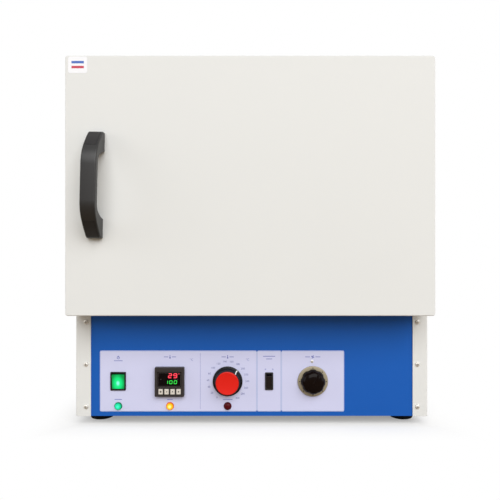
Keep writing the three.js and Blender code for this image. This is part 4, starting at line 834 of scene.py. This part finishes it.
# The finger hollows are deepest at the rim and fade out towards the crown.
hollow_count, hollow_depth = 8, 0.055
for vertex in knob.verts:
    x, z = vertex.co.x - fan_x, vertex.co.z - control_line
    radius = math.hypot(x, z)
    wave = max(0, -math.cos(hollow_count * math.atan2(x, z))) ** 0.7
    share = 1 - hollow_depth * wave * min(1, radius / knob_radius) ** 4
    vertex.co.x, vertex.co.z = fan_x + x * share, control_line + z * share
spindle(knob, knob_back, fan_centre)
make("fan_knob_dome", knob, knob_gloss, "fan_knob", ["fan_knob"], 50)
ridge = bmesh.new()
ridge_low, ridge_high = (-1.6, crown - 0.35, -2), (1.6, knob_back - 3, knob_radius - 3.4)
ridge_round, ridge_angle = 1.3, 30
turned_about(ridge, lambda: box(ridge, ridge_low, ridge_high, ridge_round, 4), fan_centre,
             ridge_angle)
make("fan_knob_pointer", ridge, knob_gloss, "fan_knob", (), 50)
dial_screw_radius = 2.6
dial_screw_place = (fan_x - 1.1, label_face, control_line + 32.3)
pan_screws(("fan_dial_screw", "fan_dial_screw_cross"), [dial_screw_place], dial_screw_radius,
           "cabinet")
dress("fan_regulator", satin_nylon, 0.5)

# Neon lamps: press-in lenses of clear coloured plastic, green and amber lit, the
# red one dark.
lamp_looks = {
    "power_lamp": ("lit_green_lens", ("#4dffd2", "#18dc9c", "#04573c"), 1.1, "#043824", "green_lens"),
    "heat_lamp": ("lit_amber_lens", ("#fffa9c", "#ffc01a", "#b84204"), 1.2, "#5a2804", "amber_lens"),
    "limit_lamp": ("dark_red_lens", ("#7a1016", "#5c0d12", "#3a080b"), 0.1, "#4c0b10",
                   "dark_red_lens"),
}
lamp_neck_radius, lamp_neck_length = 4.8, 24
for name, (title, colours, strength, base, slot) in lamp_looks.items():
    low, high, middle = span(name)
    radius, proud = (high.x - low.x) / 2, label_face - low.y
    shades = list(zip((0.05, 0.55, 0.9), colours))
    glass = glowing(title, middle, (radius * 1.08, radius * 1.08), shades, strength, base,
                    Specular_IOR_Level=0.1)
    lens = bmesh.new()
    profile = [(0, -proud), (radius * 0.35, -proud * 0.96), (radius * 0.62, -proud * 0.84),
               (radius * 0.8, -proud * 0.62), (radius * 0.87, -1.5), (radius * 0.88, -1.1),
               (radius * 0.97, -1), (radius, -0.7), (radius, 0), (lamp_neck_radius, 0),
               (lamp_neck_radius, lamp_neck_length), (0, lamp_neck_length)]
    turn(lens, profile, at((middle.x, label_face, middle.z)), 64)
    make(name + "_lens", lens, glass, "cabinet", [name])

# Chamber: walls, back and front frame in brushed stainless, with pressed runners
# that hold two wire shelves.
# Brushed stainless: fine lines along the sheet, 0.3 mm apart, drawn at 0.9 mm.
brushed_stainless = finish("brushed_stainless", "#cfcecb", 0.36, 0.9, 0.006, 70, 0.05, (0.03, 1, 1),
                           Metallic=1)
# Chromed wire: mirror-bright, with a trace of waviness.
chrome_wire = finish("bright_chromed_wire", "#cfd0d2", 0.12, 2, 0.002, 20, 0.03, Metallic=1)
for name in ("chamber_frame", "chamber_liner", "chamber_back", "air_baffle"):
    dress(name, brushed_stainless, 0.3)
for name in ("left_runner", "right_runner"):
    dress(name, brushed_stainless, 0.4)


def rod(shape, points, radius, closed=False, sides=2):
    """A round rod along a line of points, with its bends as given."""
    curve = bpy.data.curves.new("rod", "CURVE")
    curve.dimensions = "3D"
    curve.bevel_depth = radius
    curve.bevel_resolution = sides
    curve.use_fill_caps = True
    line = curve.splines.new("POLY")
    line.points.add(len(points) - 1)
    for point, place in zip(line.points, points):
        point.co = (*place, 1)
    line.use_cyclic_u = closed
    add_curve(shape, curve)


def rounded_loop(x, y, radius, steps=6):
    """Points of a rectangle with rounded corners, in plan."""
    points = []
    for quarter, (cx, cy) in enumerate(((x[1], y[1]), (x[0], y[1]), (x[0], y[0]), (x[1], y[0]))):
        cx += radius if cx == x[0] else -radius
        cy += radius if cy == y[0] else -radius
        for step in range(steps + 1):
            angle = math.pi / 2 * (quarter + step / steps)
            points.append((cx + radius * math.cos(angle), cy + radius * math.sin(angle)))
    return points


frame_rod, shelf_corner = 3, 9
shelf_wire, shelf_wires = 1.6, 13
cross_rod, cross_spread = 1.5, 60
for name in ("lower_shelf", "upper_shelf"):
    low, high, middle = span(name)
    left, right = low.x + frame_rod, high.x - frame_rod
    near, far = low.y + frame_rod, high.y - frame_rod
    shelf = bmesh.new()
    loop = rounded_loop((left, right), (near, far), shelf_corner)
    rod(shelf, [(x, y, middle.z) for x, y in loop], frame_rod, True, 3)
    z = high.z - shelf_wire
    for i in range(1, shelf_wires + 1):
        x = left + i * (right - left) / (shelf_wires + 1)
        rod(shelf, [(x, near, z), (x, far, z)], shelf_wire)
    z = high.z - 2 * shelf_wire - cross_rod
    for y in (middle.y - cross_spread, middle.y + cross_spread):
        rod(shelf, [(left, y, z), (right, y, z)], cross_rod)
    make("wire_" + name, shelf, chrome_wire, "cabinet", [name], 60)

# Air circulation: a ring element and a fan behind the baffle, and the fan's motor
# behind the wool. Sensors reach through the baffle, held by one clip.
# Element sheath: stainless that has been hot, straw to brown.
hot_sheath = finish("heat_tinted_sheath", "#8d7a5e", 0.35, 3, 0.01, 30, 0.2, Metallic=1)
dress("heating_element", hot_sheath, 0)
dress("fan_impeller", zinc_plate, 0.2)
dress("fan_motor", zinc_plate, 0.8)
dress("sensor_set", brushed_stainless, 0.2)

# Mineral wool: the slabs around the chamber and in the door.
# Stone wool: a matt mat of yellow-brown fibres, in tufts of about 3 mm.
mineral_wool = finish("stone_wool_mat", "#b8a468", 0.95, 3, 0.8, 25, 0.18)
dress("insulation_jacket", mineral_wool, 2, 3)
dress("door_insulation", mineral_wool, 2, 3)

# Exhaust vent: a stainless pipe through the rear panel with a riveted plate, and a
# black damper that swings over it on a pin.
pipe_radius, pipe_wall = 12.5, 1.5
flap_radius, flap_sheet, boss_radius, boss_bore = 15, 2, 6.5, 2.85
arm_half, grip_half_x, grip_half_z = 6.2, 2, 10
flap_low, flap_high, flap_middle = span("vent_damper")
vent_x, vent_z = flap_low.x + flap_radius, flap_middle.z
pivot_x = flap_high.x - boss_radius
vent_axis, pivot_axis = at((vent_x, 0, vent_z)), at((pivot_x, 0, vent_z))
panel_back = span("rear_panel")[1].y
panel_gap, plate_sheet = 0.3, 1.5
low, high, _ = span("vent_pipe")
pipe = bmesh.new()
bore, pipe_end = pipe_radius - pipe_wall, flap_low.y - 0.3
profile = [(bore, low.y), (pipe_radius, low.y), (pipe_radius, pipe_end - 0.35),
           (pipe_radius - 0.4, pipe_end), (bore + 0.4, pipe_end), (bore, pipe_end - 0.35),
           (bore, low.y)]
turn(pipe, profile, vent_axis, 64)
plate_back = panel_back + panel_gap + plate_sheet
box(pipe, (low.x, panel_back + panel_gap, low.z), (high.x, plate_back, high.z), 0.5)
pin = [(0, panel_back), (2.5, panel_back), (2.5, high.y - 0.5), (2, high.y), (0, high.y)]
turn(pipe, pin, pivot_axis, 24)
rivet = [(0, plate_back + 1.4), (1.6, plate_back + 1), (2.2, plate_back), (0, plate_back)]
rivet_inset_x, rivet_inset_z = 5, 6
for x in (low.x + rivet_inset_x, high.x - rivet_inset_x):
    for z in (low.z + rivet_inset_z, high.z - rivet_inset_z):
        turn(pipe, rivet, at((x, 0, z)), 20)
make("vent_pipe_and_plate", pipe, brushed_stainless, "cabinet", ["vent_pipe"])
near, far = flap_low.y, flap_low.y + flap_sheet
flap = bmesh.new()
disc = [(0, near), (flap_radius - 0.4, near), (flap_radius, near + 0.4), (flap_radius, far - 0.4),
        (flap_radius - 0.4, far), (0, far)]
turn(flap, disc, vent_axis, 64)
box(flap, (vent_x, near + 0.05, vent_z - arm_half), (pivot_x, far - 0.05, vent_z + arm_half), 0.3)
boss = [(boss_bore, near), (boss_radius - 0.2, near), (boss_radius, near + 0.3),
        (boss_radius, far - 0.3), (boss_radius - 0.2, far), (boss_bore, far), (boss_bore, near)]
turn(flap, boss, pivot_axis, 40)
box(flap, (vent_x - grip_half_x, near + 1, vent_z - grip_half_z),
    (vent_x + grip_half_x, flap_high.y, vent_z + grip_half_z), 1.3)
make("vent_flap", flap, satin_nylon, "vent_damper", ["vent_damper"])

# Cable gland: a black nylon screw gland through the rear panel, with a hexagon to
# tighten it by and a ribbed dome. Its bore is open.
gland_bore, thread_radius, nut_radius, dome_radius = 4.5, 9.6, 13.9, 11
low, high, middle = span("cable_gland")
gland = bmesh.new()
seat = panel_back + panel_gap
profile = [(gland_bore, low.y), (thread_radius, low.y), (thread_radius, seat),
           (nut_radius - 0.3, seat), (nut_radius, seat + 0.6), (nut_radius, seat + 5.4),
           (nut_radius - 0.5, seat + 6), (dome_radius, seat + 6.3), (dome_radius, seat + 15.5),
           (dome_radius - 0.8, seat + 18.5), (8.2, high.y - 0.7), (7.4, high.y),
           (gland_bore, high.y), (gland_bore, low.y)]
turn(gland, profile, at((middle.x, 0, middle.z)), 48)
ribbed(gland, (middle.x, middle.z), 24, 0.8, (dome_radius - 0.1, dome_radius + 0.1))
ribbed(gland, (middle.x, middle.z), 6, 1.9, (nut_radius - 0.6, nut_radius + 0.1))
make("nylon_cable_gland", gland, satin_nylon, "cabinet", ["cable_gland"])

# Door: a deep pan of the same coated steel, open at its back inside a 30 mm return,
# with the upper halves of the hinge barrels welded to its right side.
liner_inset = 18
door_return, door_corner, door_edge = 30, 4, 1.7
door_left, door_front, door_bottom = span("door_shell")[0]
liner_low, liner_high, liner_middle = span("door_liner")
door_right, door_top = liner_high.x + liner_inset, liner_high.z + liner_inset
door_back = liner_low.y
pan = bmesh.new()
plate(pan, (door_left, door_right), (door_bottom, door_top), (door_front, door_back), door_corner,
      segments=6)
rims = [e for e in pan.edges if e.is_manifold and e.calc_face_angle() > 1]
bevel(pan, rims, door_edge, 4)
open_window(pan, door_back, (door_left + door_return, door_right - door_return),
            (door_bottom + door_return, door_top - door_return))
bmesh.ops.dissolve_limit(pan, angle_limit=0.01, verts=pan.verts[:], edges=pan.edges[:])
door_skin = make("door_skin", pan, cream_powder_coat, "door", ["door_shell"])
folded_sheet(door_skin, sheet_thickness)

hinge_radius, hinge_bore, hinge_sheet = 5, 2.8, 2.4
half_gap, half_height, end_wall = 0.25, 32, 5.7
leaf_gap, leaf_length = 0.05, 25
hinge_low, hinge_high, _ = span("lower_hinge")
hinge_x, hinge_y = hinge_high.x - hinge_radius, hinge_low.y + hinge_radius
front = hinge_y - hinge_radius
halves = bmesh.new()
for name in ("lower_hinge", "upper_hinge"):
    middle = span(name)[2]
    bottom, top = middle.z + half_gap, middle.z + half_height
    profile = [(hinge_bore, bottom), (hinge_radius - 0.4, bottom), (hinge_radius, bottom + 0.4),
               (hinge_radius, top - 0.4), (hinge_radius - 0.4, top), (0, top), (0, top - end_wall),
               (hinge_bore, top - end_wall), (hinge_bore, bottom)]
    turn(halves, [(r, -z) for r, z in profile], at((hinge_x, hinge_y, 0), "-Z"), 40)
    box(halves, (door_right + leaf_gap, front, bottom), (hinge_x, front + hinge_sheet, top), 0.4)
    box(halves, (door_right + leaf_gap, front - hinge_sheet - leaf_length, bottom),
        (door_right + hinge_sheet, front + 0.3, top), 0.5)
make("door_hinge_halves", halves, cream_powder_coat, "door")

# The cabinet's own hinge halves with their pins, zinc-plated, and the magnetic catch
# behind the door's handle edge: matt black nylon around two ground steel poles.
for name in ("lower_hinge", "upper_hinge"):
    dress(name, zinc_plate, 0.3)
dress("door_catch", satin_nylon, 0.8, 3)
low, high, middle = span("door_catch")
pole_spread, pole_half, pole_inset = 2.6, 0.8, 9
poles = bmesh.new()
for side in (-1, 1):
    x = middle.x + side * pole_spread
    box(poles, (x - pole_half, low.y - 0.05, low.z + pole_inset),
        (x + pole_half, low.y + 1, high.z - pole_inset))
make("catch_poles", poles, screw_steel, "cabinet")

# Door inside: a brushed stainless liner with a raised plug, its screws, and a
# silicone seal that meets the frame around the chamber.
# Silicone extrusion: iron-oxide red, matt, slightly dusty.
red_silicone = finish("iron_red_silicone", "#8f3d2d", 0.65, 1.2, 0.02, 18, 0.08)
dress("door_liner", brushed_stainless, 0.5, 3)
dress("door_seal", red_silicone, 0.8, 3)
liner_face = liner_low.y + 1.2
liner_screw_radius, liner_screw_inset = 3, (7, 6)
reach_x = (liner_high.x - liner_low.x) / 2 - liner_screw_inset[0]
reach_z = (liner_high.z - liner_low.z) / 2 - liner_screw_inset[1]
pan_screws(("door_liner_screws", "door_liner_screw_crosses"),
           around(liner_middle, liner_face, reach_x, reach_z), liner_screw_radius, "door", "-Y")

# Handle: a bridge handle moulded in black nylon, with a cap let into each sloping
# end over its screws. Both are satin near-black, the cap a touch darker.
handle_nylon = finish("handle_black_nylon", "#1f1e1e", 0.42, 1.1, 0.02, 30, 0.05)
cap_nylon = finish("handle_cap_nylon", "#1d1b1c", 0.44, 1.1, 0.015, 20, 0.05,
                   Specular_IOR_Level=0.35)
dress("door_handle", handle_nylon, 0.8, 3)
for name in ("upper_handle_cap", "lower_handle_cap"):
    dress(name, cap_nylon, 0.5, 3)

# Sticker: a small plain paper label with round corners and two printed bars, stuck
# to the door's top left corner. The paper is a smooth cool white, the bars flat ink.
sticker_paper = finish("white_sticker_paper", "#f4f6fb", 0.55, 0.9, 0.01, 30, 0.01)
sticker_red = finish("sticker_red_ink", "#c8475a", 0.55, 0.9, 0.01)
sticker_blue = finish("sticker_blue_ink", "#4a6fc0", 0.55, 0.9, 0.01)
sticker_width, sticker_height, sticker_corner = 29, 25, 3
bar_height, bar_margin = 3.8, 5
sticker_x, sticker_z = door_left + 5, door_top - 2.3
paper_face = door_front - 0.15
sticker = bmesh.new()
plate(sticker, (sticker_x, sticker_x + sticker_width), (sticker_z - sticker_height, sticker_z),
      (paper_face, door_front), sticker_corner)
make("door_sticker", sticker, sticker_paper, "door")
sticker_bars = {"sticker_upper_bar": (sticker_blue, 6.5), "sticker_lower_bar": (sticker_red, 14)}
for name, (bar_ink, drop) in sticker_bars.items():
    bar = bmesh.new()
    box(bar, (sticker_x + bar_margin, paper_face - ink, sticker_z - drop - bar_height),
        (sticker_x + sticker_width - bar_margin, paper_face, sticker_z - drop))
    make(name, bar, bar_ink, "door")
